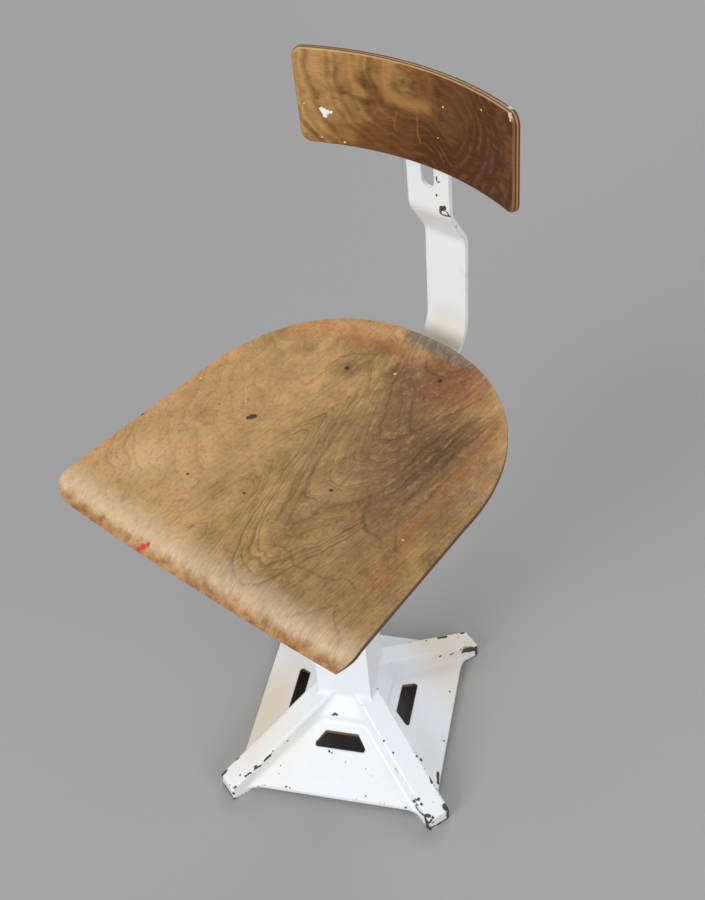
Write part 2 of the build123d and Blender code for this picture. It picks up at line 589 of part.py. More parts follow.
def chair():
    """Every piece of the chair in its place at rest."""
    turned = {
        "base_casting": base_casting(),
        "upper_guide_bush": guide_bush(COLUMN_TOP - UPPER_BUSH_HEIGHT, UPPER_BUSH_HEIGHT, cross_hole=True),
        "lower_guide_bush": guide_bush(WEB_Z, WEB_HEIGHT),
        **clamp_parts(),
        **pillar_parts(),
    }
    pieces = {name: Rot(0, 0, BASE_TURN) * shape for name, shape in turned.items()}
    return {**pieces, **seat_parts(), **backrest_parts()}


os.makedirs("parts", exist_ok=True)
for node, piece in chair().items():
    export_step(piece, f"parts/{node}.step")
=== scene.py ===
# %% [markdown]
# # A worn swivel work chair
# The chair has a white cast-iron pyramid base, a sliding steel pillar, a dished plywood seat and a small
# curved plywood backrest on a slotted flat bar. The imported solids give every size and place. This lesson
# dresses them: it presses the two plywood sheets again with eased edges and visible plies, paints worn
# veneer and chipped enamel with nodes, and cuts the small fastener details that the solids leave plain.

# %% Load the frame
import json
from math import atan2, cos, hypot, pi, radians, sin, sqrt

import bpy
import numpy as np
from mathutils import Matrix, Vector
from mathutils.bvhtree import BVHTree


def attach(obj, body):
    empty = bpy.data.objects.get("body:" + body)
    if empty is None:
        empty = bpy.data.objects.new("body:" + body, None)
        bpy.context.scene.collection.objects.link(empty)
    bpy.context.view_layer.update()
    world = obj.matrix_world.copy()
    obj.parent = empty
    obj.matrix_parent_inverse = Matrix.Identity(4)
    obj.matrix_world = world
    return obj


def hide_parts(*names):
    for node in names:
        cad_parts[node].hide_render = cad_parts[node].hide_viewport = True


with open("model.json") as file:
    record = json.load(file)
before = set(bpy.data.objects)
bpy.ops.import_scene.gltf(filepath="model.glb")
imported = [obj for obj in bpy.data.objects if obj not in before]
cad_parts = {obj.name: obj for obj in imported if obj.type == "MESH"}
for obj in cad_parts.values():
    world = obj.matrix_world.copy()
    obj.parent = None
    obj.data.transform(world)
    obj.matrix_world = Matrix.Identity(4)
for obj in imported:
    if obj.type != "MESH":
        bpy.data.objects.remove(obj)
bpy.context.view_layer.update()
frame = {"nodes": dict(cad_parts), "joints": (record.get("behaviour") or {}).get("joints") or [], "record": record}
nodes = frame["nodes"]
joints = {joint["name"]: joint for joint in frame["joints"]}
MM = 0.001

# %% [markdown]
# ## Camera
# The photograph looks down at the chair from the sitter's front left. Its place, aim and lens were fitted
# to the corners of the bar, the toes and the panels, so the render can be laid over the photograph. The
# same numbers turn a photograph pixel into a ray, which later puts each chip and stain where it belongs.

# %% Camera of the photograph
PHOTO_WIDTH, PHOTO_HEIGHT = 705, 900
CAMERA_PLACE = Vector((592.32, -595.27, 1245.53)) * MM
CAMERA_AZIMUTH, CAMERA_ELEVATION, CAMERA_ROLL = radians(40.47), radians(42.63), radians(-3.67)
FOCAL_PX = 1167.2
OPTICAL_CENTRE_PX = (389.11, 433.59)


def camera_axes():
    """Right, up and backward directions of the photograph's camera."""
    a, e, r = CAMERA_AZIMUTH, CAMERA_ELEVATION, CAMERA_ROLL
    backward = Vector((sin(a) * cos(e), -cos(a) * cos(e), sin(e)))
    level = Vector((cos(a), sin(a), 0))
    above = backward.cross(level)
    return level * cos(r) + above * sin(r), above * cos(r) - level * sin(r), backward


def photo_ray(pixel):
    """Direction from the camera through a pixel of the photograph."""
    right, up, backward = camera_axes()
    across = (pixel[0] - OPTICAL_CENTRE_PX[0]) / FOCAL_PX
    down = (pixel[1] - OPTICAL_CENTRE_PX[1]) / FOCAL_PX
    return (right * across - up * down - backward).normalized()


def add_camera():
    """Camera with the photograph's view, aimed by its three axes."""
    lens = bpy.data.cameras.new("photograph camera")
    lens.lens = FOCAL_PX / PHOTO_HEIGHT * lens.sensor_width
    lens.shift_x = (PHOTO_WIDTH / 2 - OPTICAL_CENTRE_PX[0]) / PHOTO_HEIGHT
    lens.shift_y = (OPTICAL_CENTRE_PX[1] - PHOTO_HEIGHT / 2) / PHOTO_HEIGHT
    camera = bpy.data.objects.new("photograph camera", lens)
    axes = Matrix(camera_axes()).transposed().to_4x4()
    camera.matrix_world = Matrix.Translation(CAMERA_PLACE) @ axes
    bpy.context.scene.collection.objects.link(camera)
    bpy.context.scene.camera = camera
    return camera


print("camera lens, mm:", round(add_camera().data.lens, 2))

# %% [markdown]
# ## Finishes with nodes
# Every finish is a small graph of nodes. A short helper class keeps the graphs readable: each method adds
# one node and returns its output, so a finish reads like a recipe. Places are metres in the chair's frame.

# %% Helper for node finishes


def colour(red, green, blue):
    """Linear colour with alpha from the usual 0 to 255 values."""
    def linear(value):
        value /= 255
        return value / 12.92 if value <= 0.04045 else ((value + 0.055) / 1.055) ** 2.4
    return linear(red), linear(green), linear(blue), 1.0


class Finish:
    """A material with short calls for the nodes that paint it."""

    def __init__(self, name, **constants):
        self.material = bpy.data.materials.new(name)
        self.material.use_nodes = True
        self.tree = self.material.node_tree
        self.shader = self.tree.nodes["Principled BSDF"]
        for socket, value in constants.items():
            self.set(socket.replace("_", " "), value)

    def set(self, socket, value):
        """Give the shader a constant or the output of a node."""
        self.feed(self.shader.inputs[socket], value)

    def feed(self, socket, value):
        if isinstance(value, bpy.types.NodeSocket):
            self.tree.links.new(value, socket)
        else:
            socket.default_value = value

    def put(self, kind, inputs, out=0, **settings):
        """Add a node, fill its inputs and return one of its outputs."""
        node = self.tree.nodes.new(kind)
        for name, value in settings.items():
            setattr(node, name, value)
        for key, value in inputs.items():
            self.feed(node.inputs[key], value)
        return node.outputs[out]

    def math(self, operation, *values):
        return self.put("ShaderNodeMath", dict(enumerate(values)), operation=operation)

    def times(self, first, second):
        return self.math("MULTIPLY", first, second)

    def total(self, *values):
        """Sum of several values."""
        result = values[0]
        for value in values[1:]:
            result = self.math("ADD", result, value)
        return result

    def vector(self, operation, *values, out=0):
        return self.put("ShaderNodeVectorMath", dict(enumerate(values)), out=out, operation=operation)

    def split(self, place):
        parts = self.tree.nodes.new("ShaderNodeSeparateXYZ")
        self.feed(parts.inputs[0], place)
        return parts.outputs[0], parts.outputs[1], parts.outputs[2]

    def join(self, x, y, z):
        return self.put("ShaderNodeCombineXYZ", {0: x, 1: y, 2: z})

    def place(self):
        """Point of the chair's frame, at rest."""
        return self.put("ShaderNodeTexCoord", {}, out=3)

    def step(self, value, low, high):
        """0 at low and 1 at high, with a soft change between them. Low may be the larger number."""
        inputs = {"Value": value, "From Min": low, "From Max": high}
        return self.put("ShaderNodeMapRange", inputs, interpolation_type="SMOOTHSTEP")

    def scale(self, value, low, high):
        """A value from 0 to 1 stretched to another span."""
        return self.put("ShaderNodeMapRange", {"Value": value, "To Min": low, "To Max": high})

    def noise(self, place, size, stretch=(1, 1, 1), detail=3.0, rough=0.5):
        """Cloudy value from 0 to 1 with features of a size in metres, longer along an axis if stretched."""
        squeeze = tuple(1 / s for s in stretch)
        place = self.vector("MULTIPLY", place, squeeze)
        inputs = {"Vector": place, "Scale": 1 / size, "Detail": detail, "Roughness": rough}
        return self.put("ShaderNodeTexNoise", inputs)

    def mix(self, factor, first, second):
        """The first colour where the factor is 0, the second where it is 1."""
        return self.put("ShaderNodeMix", {0: factor, 6: first, 7: second}, out=2, data_type="RGBA")

    def between(self, factor, first, second):
        """The first number where the factor is 0, the second where it is 1."""
        return self.put("ShaderNodeMix", {0: factor, 2: first, 3: second}, data_type="FLOAT")

    def spot(self, place, centre, radius, edge):
        """1 inside a ball, fading to 0 over its edge."""
        distance = self.vector("DISTANCE", place, tuple(centre), out=1)
        return self.step(distance, radius + edge, radius - edge)

    def spots(self, place, marks, edge=0.2):
        """1 inside any of the marks, each a centre and a radius. The edge is a share of the radius."""
        nearest = None
        for centre, radius in marks:
            reach = self.math("DIVIDE", self.vector("DISTANCE", place, tuple(centre), out=1), radius)
            nearest = reach if nearest is None else self.math("MINIMUM", nearest, reach)
        return self.step(nearest, 1 + edge, 1 - edge)

    def shaken(self, place, size, amount):
        """The place pushed about by cloudy noise, which gives what is painted there a ragged outline."""
        inputs = {"Vector": place, "Scale": 1 / size, "Detail": 2.0}
        push = self.vector("SUBTRACT", self.put("ShaderNodeTexNoise", inputs, out=1), (0.5, 0.5, 0.5))
        return self.vector("MULTIPLY_ADD", push, (amount, amount, amount), place)

    def line(self, place, start, end):
        """Distance to a straight line between two points."""
        reach = end - start
        off = self.vector("SUBTRACT", place, tuple(start))
        share = self.vector("DOT_PRODUCT", off, tuple(reach / reach.length_squared), out=1)
        share = self.put("ShaderNodeClamp", {"Value": share})
        nearest = self.vector("MULTIPLY_ADD", self.join(share, share, share), tuple(reach), tuple(start))
        return self.vector("DISTANCE", place, nearest, out=1)

    def strokes(self, place, lines, width, firm=0.0):
        """1 on any line through a list of points, fading to 0 at its width. A firm share of it stays 1."""
        nearest = None
        for points in lines:
            for start, end in zip(points, points[1:]):
                reach = self.line(place, start, end)
                nearest = reach if nearest is None else self.math("MINIMUM", nearest, reach)
        return self.step(nearest, width, width * firm)

    def bump(self, height, distance, edge=None):
        """Normal of a surface with a relief, its sharp edges softened by a radius if one is given."""
        inputs = {"Height": height, "Distance": distance}
        if edge:
            inputs["Normal"] = self.put("ShaderNodeBevel", {"Radius": edge}, samples=6)
        return self.put("ShaderNodeBump", inputs)


print("middle grey as a linear value:", round(colour(128, 128, 128)[0], 3))

# %% [markdown]
# ## Pressed plywood
# Seat and backrest are plywood pressed in a mould. Each sheet is a flat outline bent by a formula, and its
# edge is a small profile: eased corners with the plies between them. A mesh made of rings from the middle
# of the sheet to its edge keeps that profile even all round, where a bevel on the solid's triangles would
# not. Each vertex keeps its flat place and its depth, because veneer follows the sheet through the bends.

# %% Rings of a pressed sheet


def inset_loop(loop, distance, spread):
    """A closed loop of flat points moved inward, by more where the spread of that axis is larger."""
    ahead = np.roll(loop, -1, axis=0) - np.roll(loop, 1, axis=0)
    ahead /= np.linalg.norm(ahead, axis=1)[:, None]
    inward = np.stack([-ahead[:, 1], ahead[:, 0]], axis=1)
    return loop + inward * spread * distance


def eased_edge(thickness, easing, steps=5):
    """Edge profile of a sheet as pairs of inset and depth, from its face to its back."""
    turns = [pi / 2 * step / steps for step in range(steps + 1)]
    upper = [(easing * (1 - sin(t)), easing * (1 - cos(t))) for t in turns]
    lower = [(inset, thickness - depth) for inset, depth in reversed(upper)]
    return upper + lower


def pressed_sheet(name, loop, bend, edge, rings, spread=(1, 1)):
    """Closed mesh of a bent sheet. bend gives the place of a flat point at a depth under the face."""
    loop = np.array(loop)
    middle = loop.mean(axis=0)
    shares = [(ring + 1) / rings for ring in range(rings)]
    face_edge, back_edge = edge[0], edge[-1]
    face_loop = inset_loop(loop, face_edge[0], spread)
    courses = [(middle + (face_loop - middle) * share, face_edge[1]) for share in shares]
    courses += [(inset_loop(loop, inset, spread), depth) for inset, depth in edge[1:-1]]
    back_loop = inset_loop(loop, back_edge[0], spread)
    courses += [(middle + (back_loop - middle) * share, back_edge[1]) for share in reversed(shares)]
    flat = [(*middle, face_edge[1])]
    for course, depth in courses:
        flat += [(*point, depth) for point in course]
    flat.append((*middle, back_edge[1]))
    count = len(loop)
    faces = [(0, 1 + i, 1 + (i + 1) % count) for i in range(count)]
    for course in range(len(courses) - 1):
        start = 1 + course * count
        for i in range(count):
            ahead = (i + 1) % count
            faces.append((start + i, start + count + i, start + count + ahead, start + ahead))
    last = 1 + (len(courses) - 1) * count
    faces += [(len(flat) - 1, last + (i + 1) % count, last + i) for i in range(count)]
    mesh = bpy.data.meshes.new(name)
    mesh.from_pydata([bend(*point) for point in flat], [], faces)
    mesh.polygons.foreach_set("use_smooth", [True] * len(mesh.polygons))
    veneer = mesh.attributes.new("veneer", "FLOAT_VECTOR", "POINT")
    veneer.data.foreach_set("vector", np.array(flat, dtype=np.float32).ravel())
    sheet = bpy.data.objects.new(name, mesh)
    bpy.context.scene.collection.objects.link(sheet)
    return sheet


print("points through a plain edge:", len(eased_edge(8 * MM, 2 * MM)))

# %% [markdown]
# ## Seat
# The seat rolls down at the front, is nearly flat in its middle and scoops up at the rear, and its sides
# rise a little. The section is an arc, a line and an arc, so a point is found from its run along it. A
# sculpted mesh could show the same bends, but a formula also keeps the ply evenly thick.

# %% Section of the seat
SEAT_PLY = 8.0 * MM
SEAT_EASING = 1.7 * MM
SEAT_ROLL_START = Vector((-168.0, 458.6)) * MM
SEAT_ROLL_RADIUS, SEAT_ROLL_SWEEP = 30.0 * MM, radians(63.0)
SEAT_RISE, SEAT_FLAT = radians(1.8), 158.0 * MM
SEAT_SCOOP_RADIUS = 784.0 * MM
SEAT_DISH, SEAT_FRONT_HALF = 8.0 * MM, 184.4 * MM
SEAT_ROLL_RUN = SEAT_ROLL_RADIUS * SEAT_ROLL_SWEEP


def seat_section(run):
    """Place (y, z) and upward normal of the seat's centre line, this far along it from the front lip."""
    along = Vector((cos(SEAT_RISE), sin(SEAT_RISE)))
    normal = Vector((-along.y, along.x))
    if run < SEAT_ROLL_RUN:
        turn = pi / 2 + SEAT_RISE + SEAT_ROLL_SWEEP - run / SEAT_ROLL_RADIUS
        outward = Vector((cos(turn), sin(turn)))
        return SEAT_ROLL_START + (outward - normal) * SEAT_ROLL_RADIUS, outward
    beyond = run - SEAT_ROLL_RUN - SEAT_FLAT
    if beyond < 0:
        return SEAT_ROLL_START + along * (run - SEAT_ROLL_RUN), normal
    turn = SEAT_RISE - pi / 2 + beyond / SEAT_SCOOP_RADIUS
    inward = Vector((-cos(turn), -sin(turn)))
    end = SEAT_ROLL_START + along * SEAT_FLAT
    return end + (normal - inward) * SEAT_SCOOP_RADIUS, inward


def bend_seat(across, run, depth):
    """Place of a flat point of the seat's veneer, this deep in the ply."""
    place, normal = seat_section(run)
    if run > SEAT_ROLL_RUN:
        normal = Vector((0, 1 / normal.y))
    place = place - normal * depth
    return across, place.x, place.y + SEAT_DISH * (across / SEAT_FRONT_HALF) ** 2


print("run of the front roll, mm:", round(SEAT_ROLL_RUN / MM, 1))

# %% [markdown]
# ## Outline of the seat
# From above the seat is straight at its front and sides and round at the rear. A traced curve would do,
# but lines, an arc and a superellipse give the outline from the few sizes that the solid has too. Use has
# rounded the front corner on the photograph's left, so its points are pulled in to a larger circle.

# %% Outline and mesh of the seat
SEAT_WAIST_HALF, SEAT_WAIST_Y, SEAT_REAR_Y = 177.2 * MM, -9.9 * MM, 170.8 * MM
SEAT_REAR_POWER = 2.25
SEAT_CORNER_RADIUS, SEAT_WORN_CORNER = 22.0 * MM, 24.0 * MM
SEAT_SCOOP_LIMIT = radians(15)


def seat_loop():
    """Outline of the seat as flat points: across and run along the section."""
    runs = np.linspace(0, SEAT_ROLL_RUN + SEAT_FLAT + SEAT_SCOOP_RADIUS * SEAT_SCOOP_LIMIT, 600)
    levels = np.array([seat_section(run)[0].x for run in runs])
    front = SEAT_ROLL_START.x - SEAT_ROLL_RADIUS
    lip = levels[0]
    corner = Vector((SEAT_FRONT_HALF - SEAT_CORNER_RADIUS, front + SEAT_CORNER_RADIUS))
    first_turn = np.arcsin((lip - corner.y) / SEAT_CORNER_RADIUS)
    half = []
    for turn in np.linspace(first_turn, 0, 10):
        half.append((corner.x + SEAT_CORNER_RADIUS * cos(turn), corner.y + SEAT_CORNER_RADIUS * sin(turn)))
    lip_half = half[0][0]
    half = [(lip_half * share, lip) for share in np.linspace(0, 1, 30)[:-1]] + half
    for share in np.linspace(0, 1, 34)[1:-1]:
        x = SEAT_FRONT_HALF + (SEAT_WAIST_HALF - SEAT_FRONT_HALF) * share
        half.append((x, corner.y + (SEAT_WAIST_Y - corner.y) * share))
    for turn in np.linspace(0, pi / 2, 70):
        x = cos(turn) ** (2 / SEAT_REAR_POWER) * SEAT_WAIST_HALF
        y = sin(turn) ** (2 / SEAT_REAR_POWER) * (SEAT_REAR_Y - SEAT_WAIST_Y) + SEAT_WAIST_Y
        half.append((x, y))
    half[-1] = (0.0, SEAT_REAR_Y)
    whole = half + [(-x, y) for x, y in reversed(half[1:-1])]
    return [(x, np.interp(y, levels, runs)) for x, y in whole]


def rounded_corner(loop, centre, radius):
    """A loop with its points beyond the centre, across and along the run, pulled in to a circle round it."""
    points = []
    for across, run in loop:
        reach = hypot(across - centre[0], run - centre[1])
        if across < centre[0] and run < centre[1] and reach > radius:
            across = centre[0] + (across - centre[0]) * radius / reach
            run = centre[1] + (run - centre[1]) * radius / reach
        points.append((across, run))
    return points


worn_centre = SEAT_WORN_CORNER - SEAT_FRONT_HALF, SEAT_WORN_CORNER
seat_outline = rounded_corner(seat_loop(), worn_centre, SEAT_WORN_CORNER)
seat = pressed_sheet("seat_sheet", seat_outline, bend_seat, eased_edge(SEAT_PLY, SEAT_EASING), rings=46)
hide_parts("seat_panel")
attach(seat, "seat")
print("seat vertices:", len(seat.data.vertices))

# %% [markdown]
# ## Backrest
# The backrest is a piece of a cylinder that leans with the bar. Its frame comes from the wing nut's joint:
# the nut turns on a stud that stands square to the bar, a little below the middle of the panel. A
# curve modifier could bend a flat panel as well, but the formula needs no helper object.

# %% Bend of the backrest
BACK_PLY = 7.5 * MM
BACK_RADIUS = 293.7 * MM
BRACKET = 3.6 * MM
STUD_DROP = 8.0 * MM
stud_foot = Vector(joints["back_nut_turn"]["pos_m"])
back_out = Vector(joints["back_nut_turn"]["axis"])
back_up = Vector(joints["back_height"]["axis"])
back_origin = stud_foot + back_up * STUD_DROP


def bend_back(along, height, depth):
    """Place of a flat point of the backrest's veneer, this deep in the ply."""
    turn = along / BACK_RADIUS
    radius = BACK_RADIUS + depth
    outward = radius * cos(turn) - BACK_RADIUS - BACK_PLY - BRACKET
    return back_origin + Vector((radius * sin(turn), 0, 0)) + back_out * outward + back_up * height


print("middle of the backrest, mm:", [round(value / MM) for value in back_origin])

# %% [markdown]
# ## Edge of the backrest
# The panel is a rectangle with rounded corners, and the plies of its edge stand out as soft ridges under
# the lacquer. Bump would show them in a render only. Here the edge profile itself dips at the seams, so
# the mesh has the ridges too.

# %% Outline and mesh of the backrest
BACK_ARC, BACK_HEIGHT = radians(49.0), 96.9 * MM
BACK_CORNER_RADIUS, BACK_EASING = 11.0 * MM, 2.0 * MM
BACK_END_SPREAD = (3.0, 1.0)
BACK_PLIES, BACK_GROOVE = 3, 0.35 * MM


def rounded_loop(half_width, half_height, radius, sides, corner_steps=12):
    """Rounded rectangle as flat points, anticlockwise, with extra points along its sides."""
    loop = []
    for quarter, (sx, sy) in enumerate(((1, 1), (-1, 1), (-1, -1), (1, -1))):
        centre = Vector((sx * (half_width - radius), sy * (half_height - radius)))
        for step in range(corner_steps + 1):
            turn = (quarter + step / corner_steps) * pi / 2
            loop.append(centre + Vector((cos(turn), sin(turn))) * radius)
        turn = pi + quarter * pi / 2
        straight = Vector((cos(turn), sin(turn))) * 2 * ((half_width, half_height)[quarter % 2] - radius)
        count = sides[quarter % 2]
        loop += [loop[-1] + straight * (step / count) for step in range(1, count)]
    return [tuple(point) for point in loop]


def ridged_edge(thickness, easing, plies, groove):
    """Edge profile whose plies stand out as soft ridges between grooves."""
    rounded = eased_edge(thickness, easing, steps=6)
    seams = [thickness * ply / plies for ply in range(1, plies)]
    middle = []
    for depth in np.linspace(easing, thickness - easing, 26)[1:-1]:
        dip = sum(groove * np.exp(-((depth - seam) / groove) ** 2) for seam in seams)
        middle.append((dip, depth))
    half = len(rounded) // 2
    return rounded[:half] + middle + rounded[half:]


back_loop = rounded_loop(BACK_RADIUS * BACK_ARC / 2, BACK_HEIGHT / 2, BACK_CORNER_RADIUS, sides=(60, 20))
back_edge = ridged_edge(BACK_PLY, BACK_EASING, BACK_PLIES, BACK_GROOVE)
backrest = pressed_sheet("backrest_sheet", back_loop, bend_back, back_edge, 20, BACK_END_SPREAD)
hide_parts("backrest_panel")
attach(backrest, "backrest")
print("backrest vertices:", len(backrest.data.vertices))

# %% [markdown]
# ## Marks of use
# The photograph shows each stain, scrape and paint chip, so their places are read as photograph pixels. A
# ray from the camera through the pixel meets the piece there, and the node graphs then paint a spot round
# that point of the frame or a stroke through several. A mark found this way stays put in every view.

# %% Marks from photograph pixels
SEARCH_SPAN, SEARCH_STEPS = 0.5, 300
surfaces = {}


def photo_place(pixel, piece):
    """Point of a piece that a photograph pixel shows, or the nearest one if the ray just misses it."""
    if piece.name not in surfaces:
        corners = [vertex.co for vertex in piece.data.vertices]
        faces = [face.vertices for face in piece.data.polygons]
        surfaces[piece.name] = BVHTree.FromPolygons(corners, faces)
    ray, surface = photo_ray(pixel), surfaces[piece.name]
    place = surface.ray_cast(CAMERA_PLACE, ray)[0]
    if place is None:
        reach = (Vector(piece.bound_box[0]) - CAMERA_PLACE).length
        steps = np.linspace(reach - SEARCH_SPAN, reach + SEARCH_SPAN, SEARCH_STEPS)
        path = [CAMERA_PLACE + ray * far for far in steps]
        place = min((surface.find_nearest(point) for point in path), key=lambda near: near[3])[0]
    return place


def photo_marks(piece, marks):
    """Centres and radii in metres of marks given as pixel x, pixel y and radius in millimetres."""
    return [(photo_place((x, y), piece), radius * MM) for x, y, radius in marks]


def cut_corners(points):
    """A line with each of its inner points cut off by a short side."""
    inner = [point + (near - point) / 4 for before, point, after in zip(points, points[1:], points[2:])
             for near in (before, after)]
    return [points[0], *inner, points[-1]]


def photo_lines(piece, lines, seen=Vector((1, 1, 1))):
    """Points of lines given as photograph pixels, flattened along an axis that is not seen."""
    return [cut_corners([photo_place(pixel, piece) * seen for pixel in line]) for line in lines]


print("place of one seat pixel, mm:", [round(value / MM) for value in photo_place((300, 450), seat)])

# %% [markdown]
# ## Worn veneer
# Rotary veneer shows its growth rings as long arches. The rings are level lines of a field over the flat
# sheet: here a family of parabolas, bent by slow noise. A power of the repeating ring value gives each ring
# a soft start and a sharp dark end, and a random weight for each ring keeps them from looking drawn. Fine
# stretched noise adds fibres and pores, soft spots and strokes add the stained and rubbed places.

# %% Veneer helpers


def ring_counts(finish, field, spacing):
    """Share of the way through each ring on the level lines of a field, and a random weight for each."""
    count = finish.math("DIVIDE", field, spacing)
    number = {"W": finish.math("FLOOR", count)}
    weight = finish.put("ShaderNodeTexWhiteNoise", number, noise_dimensions="1D")
    return finish.math("FRACT", count), weight


def veneer_rings(finish, field, spacing, sharpness):
    """Dark ends of growth rings, from 0 to 1."""
    share, weight = ring_counts(finish, field, spacing)
    return finish.times(finish.math("POWER", share, sharpness), finish.math("POWER", weight, 1.5))


def veneer_bands(finish, field, spacing):
    """Soft dark bands, from 0 to 1."""
    share, weight = ring_counts(finish, field, spacing)
    return finish.times(finish.math("SINE", finish.times(share, pi)), weight)


def ply_edge(finish, flat, depth, thickness, plies, light, dark):
    """Colour of the cut plies: layers with the grain along and across, and dark glue lines."""
    layer = finish.times(depth, plies / thickness)
    across = finish.math("MODULO", finish.math("FLOOR", layer), 2.0)
    body = finish.mix(across, dark, light)
    fibre = finish.noise(flat, 1.2 * MM, stretch=(3, 3, 0.4))
    body = finish.mix(finish.scale(fibre, 0.0, 0.5), body, dark)
    seam = finish.math("ABSOLUTE", finish.math("SUBTRACT", finish.math("FRACT", layer), 0.5))
    return finish.mix(finish.step(seam, 0.40, 0.48), body, colour(46, 30, 20))


def stained(finish, body, mask, weight, tone):
    """A colour with a tone laid over it where a mask is set."""
    return finish.mix(finish.times(mask, weight), body, tone)


veneer_helpers = veneer_rings, veneer_bands, ply_edge, stained
print("veneer helpers:", ", ".join(helper.__name__ for helper in veneer_helpers))

# %% [markdown]
# ## Stains of the seat
# Use has left pale rubbed places, brown stains, a grey worn patch at the rear and a red fleck. A painted
# image could show them, but the mesh would need a map and the script a picture. A list with a place, a
# size, a tone and a weight for each mark needs neither, and each mark can be changed alone.

# %% Stains and figure of the seat
SEAT_GOLD, SEAT_OLIVE, SEAT_DARK = colour(208, 164, 108), colour(152, 122, 68), colour(76, 54, 36)
SEAT_PINK, SEAT_LINE = colour(212, 160, 120), colour(72, 52, 36)
SEAT_PLIES = 5
BROAD_ZONE = 40
SEAT_ZONES = [
    ((130, 468), 95, 60, colour(207, 166, 110), 0.7),
    ((215, 395), 70, 45, colour(204, 160, 102), 0.6),
    ((145, 455), 24, 22, colour(227, 190, 141), 0.55),
    ((200, 414), 12, 10, colour(150, 110, 70), 0.6),
    ((345, 430), 60, 40, colour(166, 132, 80), 0.6),
    ((365, 560), 85, 60, colour(154, 122, 78), 0.65),
    ((425, 455), 72, 55, colour(118, 85, 56), 1.0),
    ((412, 388), 30, 22, colour(118, 87, 62), 0.8),
    ((372, 514), 30, 30, colour(122, 91, 58), 0.5),
    ((452, 380), 34, 24, colour(139, 81, 55), 0.9),
    ((388, 347), 13, 10, colour(104, 75, 52), 0.8),
    ((400, 371), 13, 11, colour(98, 70, 50), 0.7),
    ((350, 367), 14, 12, colour(123, 90, 60), 0.7),
    ((474, 396), 14, 12, colour(172, 110, 62), 0.6),
    ((416, 553), 10, 8, colour(209, 163, 88), 0.6),
    ((432, 562), 12, 9, colour(109, 77, 44), 0.6),
]
SEAT_SWEEPS = [
    ([(300, 330), (345, 325), (396, 343)], 22, colour(200, 140, 88), 0.8),
    ([(342, 338), (380, 346), (412, 360)], 13, colour(160, 100, 60), 0.7),
    ([(412, 337), (438, 348), (464, 363)], 13, colour(124, 119, 113), 1.0),
    ([(340, 323), (372, 327), (398, 336)], 8, colour(206, 178, 140), 0.3),
    ([(497, 425), (478, 450), (420, 518), (372, 590)], 17, colour(168, 114, 66), 0.85),
    ([(474, 424), (430, 462), (386, 498)], 12, colour(88, 60, 44), 0.3),
    ([(60, 482), (64, 498), (84, 512), (112, 528)], 7, colour(160, 98, 52), 0.7),
    ([(63, 480), (100, 442), (140, 413), (200, 366), (250, 334)], 7, colour(215, 155, 92), 0.6),
]
SEAT_FIGURE = [
    [(363, 383), (345, 415), (330, 440), (305, 487), (285, 526), (300, 521), (318, 512), (351, 474)],
    [(350, 396), (322, 445), (297, 487), (276, 520)],
    [(334, 418), (310, 455), (288, 494)],
    [(270, 545), (290, 547), (291, 564), (307, 570), (328, 581), (347, 578), (356, 589)],
    [(372, 497), (361, 520), (366, 530), (381, 535), (380, 548)],
    [(490, 394), (465, 408), (450, 416), (430, 426), (411, 432), (409, 424), (413, 410), (412, 398)],
    [(495, 430), (465, 462), (436, 490), (412, 516)],
    [(398, 514), (396, 535), (394, 552)],
    [(268, 620), (299, 616), (326, 608), (337, 606)],
    [(335, 612), (336, 628), (340, 641)],
    [(325, 369), (345, 353), (378, 354)],
]
SEAT_STREAKS = [
    [(471, 426), (450, 446), (430, 462), (410, 480), (392, 493)],
    [(462, 441), (430, 467), (404, 489)],
    [(448, 430), (420, 452), (395, 478)],
    [(483, 430), (455, 455), (428, 480), (402, 505)],
    [(478, 418), (455, 434), (436, 452)],
]
RED_FLECK = [(143, 547, 3.4), (139, 549, 2.8), (148, 544.5, 2.6)]
DARK_SPOTS = [(251.6, 416.9, 3.4), (248.5, 417.6, 2.6), (254.5, 416, 2.8), (331, 490, 2.0), (188, 474, 1.7),
              (244, 493, 1.7), (141, 413, 2.2), (219, 404, 1.2), (347, 368, 2.6), (440, 381, 2.4)]
PALE_DOTS = [(201, 378, 1.3), (395, 374, 1.3), (246, 401, 1.0), (403, 540, 1.0)]
SEEN_FROM_ABOVE = Vector((1, 1, 0))
print("stained zones:", len(SEAT_ZONES), "and sweeps:", len(SEAT_SWEEPS))

# %% [markdown]
# ## Growth rings of the seat
# The arches of the veneer are wide on the photograph's left and narrow on its right. A wave texture makes
# even rings only. Two families of parabolas are joined instead, and noise added to them bends the rings.

# %% Growth rings of the seat
SEAT_HEARTS = [(45 * MM, 45), (-80 * MM, 9)]
SEAT_HEART_CHANGE = -75 * MM, -5 * MM
SEAT_BROAD_RING, SEAT_FINE_RING = 30 * MM, 6.5 * MM


def seat_rings(finish, flat):
    """Growth rings of the seat: arches, wide on the photograph's left and narrow on its right."""
    across, run, _ = finish.split(flat)
    slow = finish.noise(flat, 90 * MM, stretch=(1, 2.6, 1), detail=2.0)
    quick = finish.noise(flat, 16 * MM, stretch=(1, 2.4, 1), detail=2.0)
    arches = []
    for heart, narrowness in SEAT_HEARTS:
        off = finish.math("POWER", finish.math("ABSOLUTE", finish.math("SUBTRACT", across, heart)), 2.0)
        arches.append(finish.math("MULTIPLY_ADD", off, -narrowness, run))
    right = finish.step(across, *SEAT_HEART_CHANGE)
    field = finish.between(right, arches[1], arches[0])
    field = finish.total(field, finish.scale(slow, 0, 130 * MM), finish.scale(quick, 0, 26 * MM))
    broad = veneer_rings(finish, field, SEAT_BROAD_RING, 4.0)
    return broad, veneer_rings(finish, field, SEAT_FINE_RING, 1.6), right


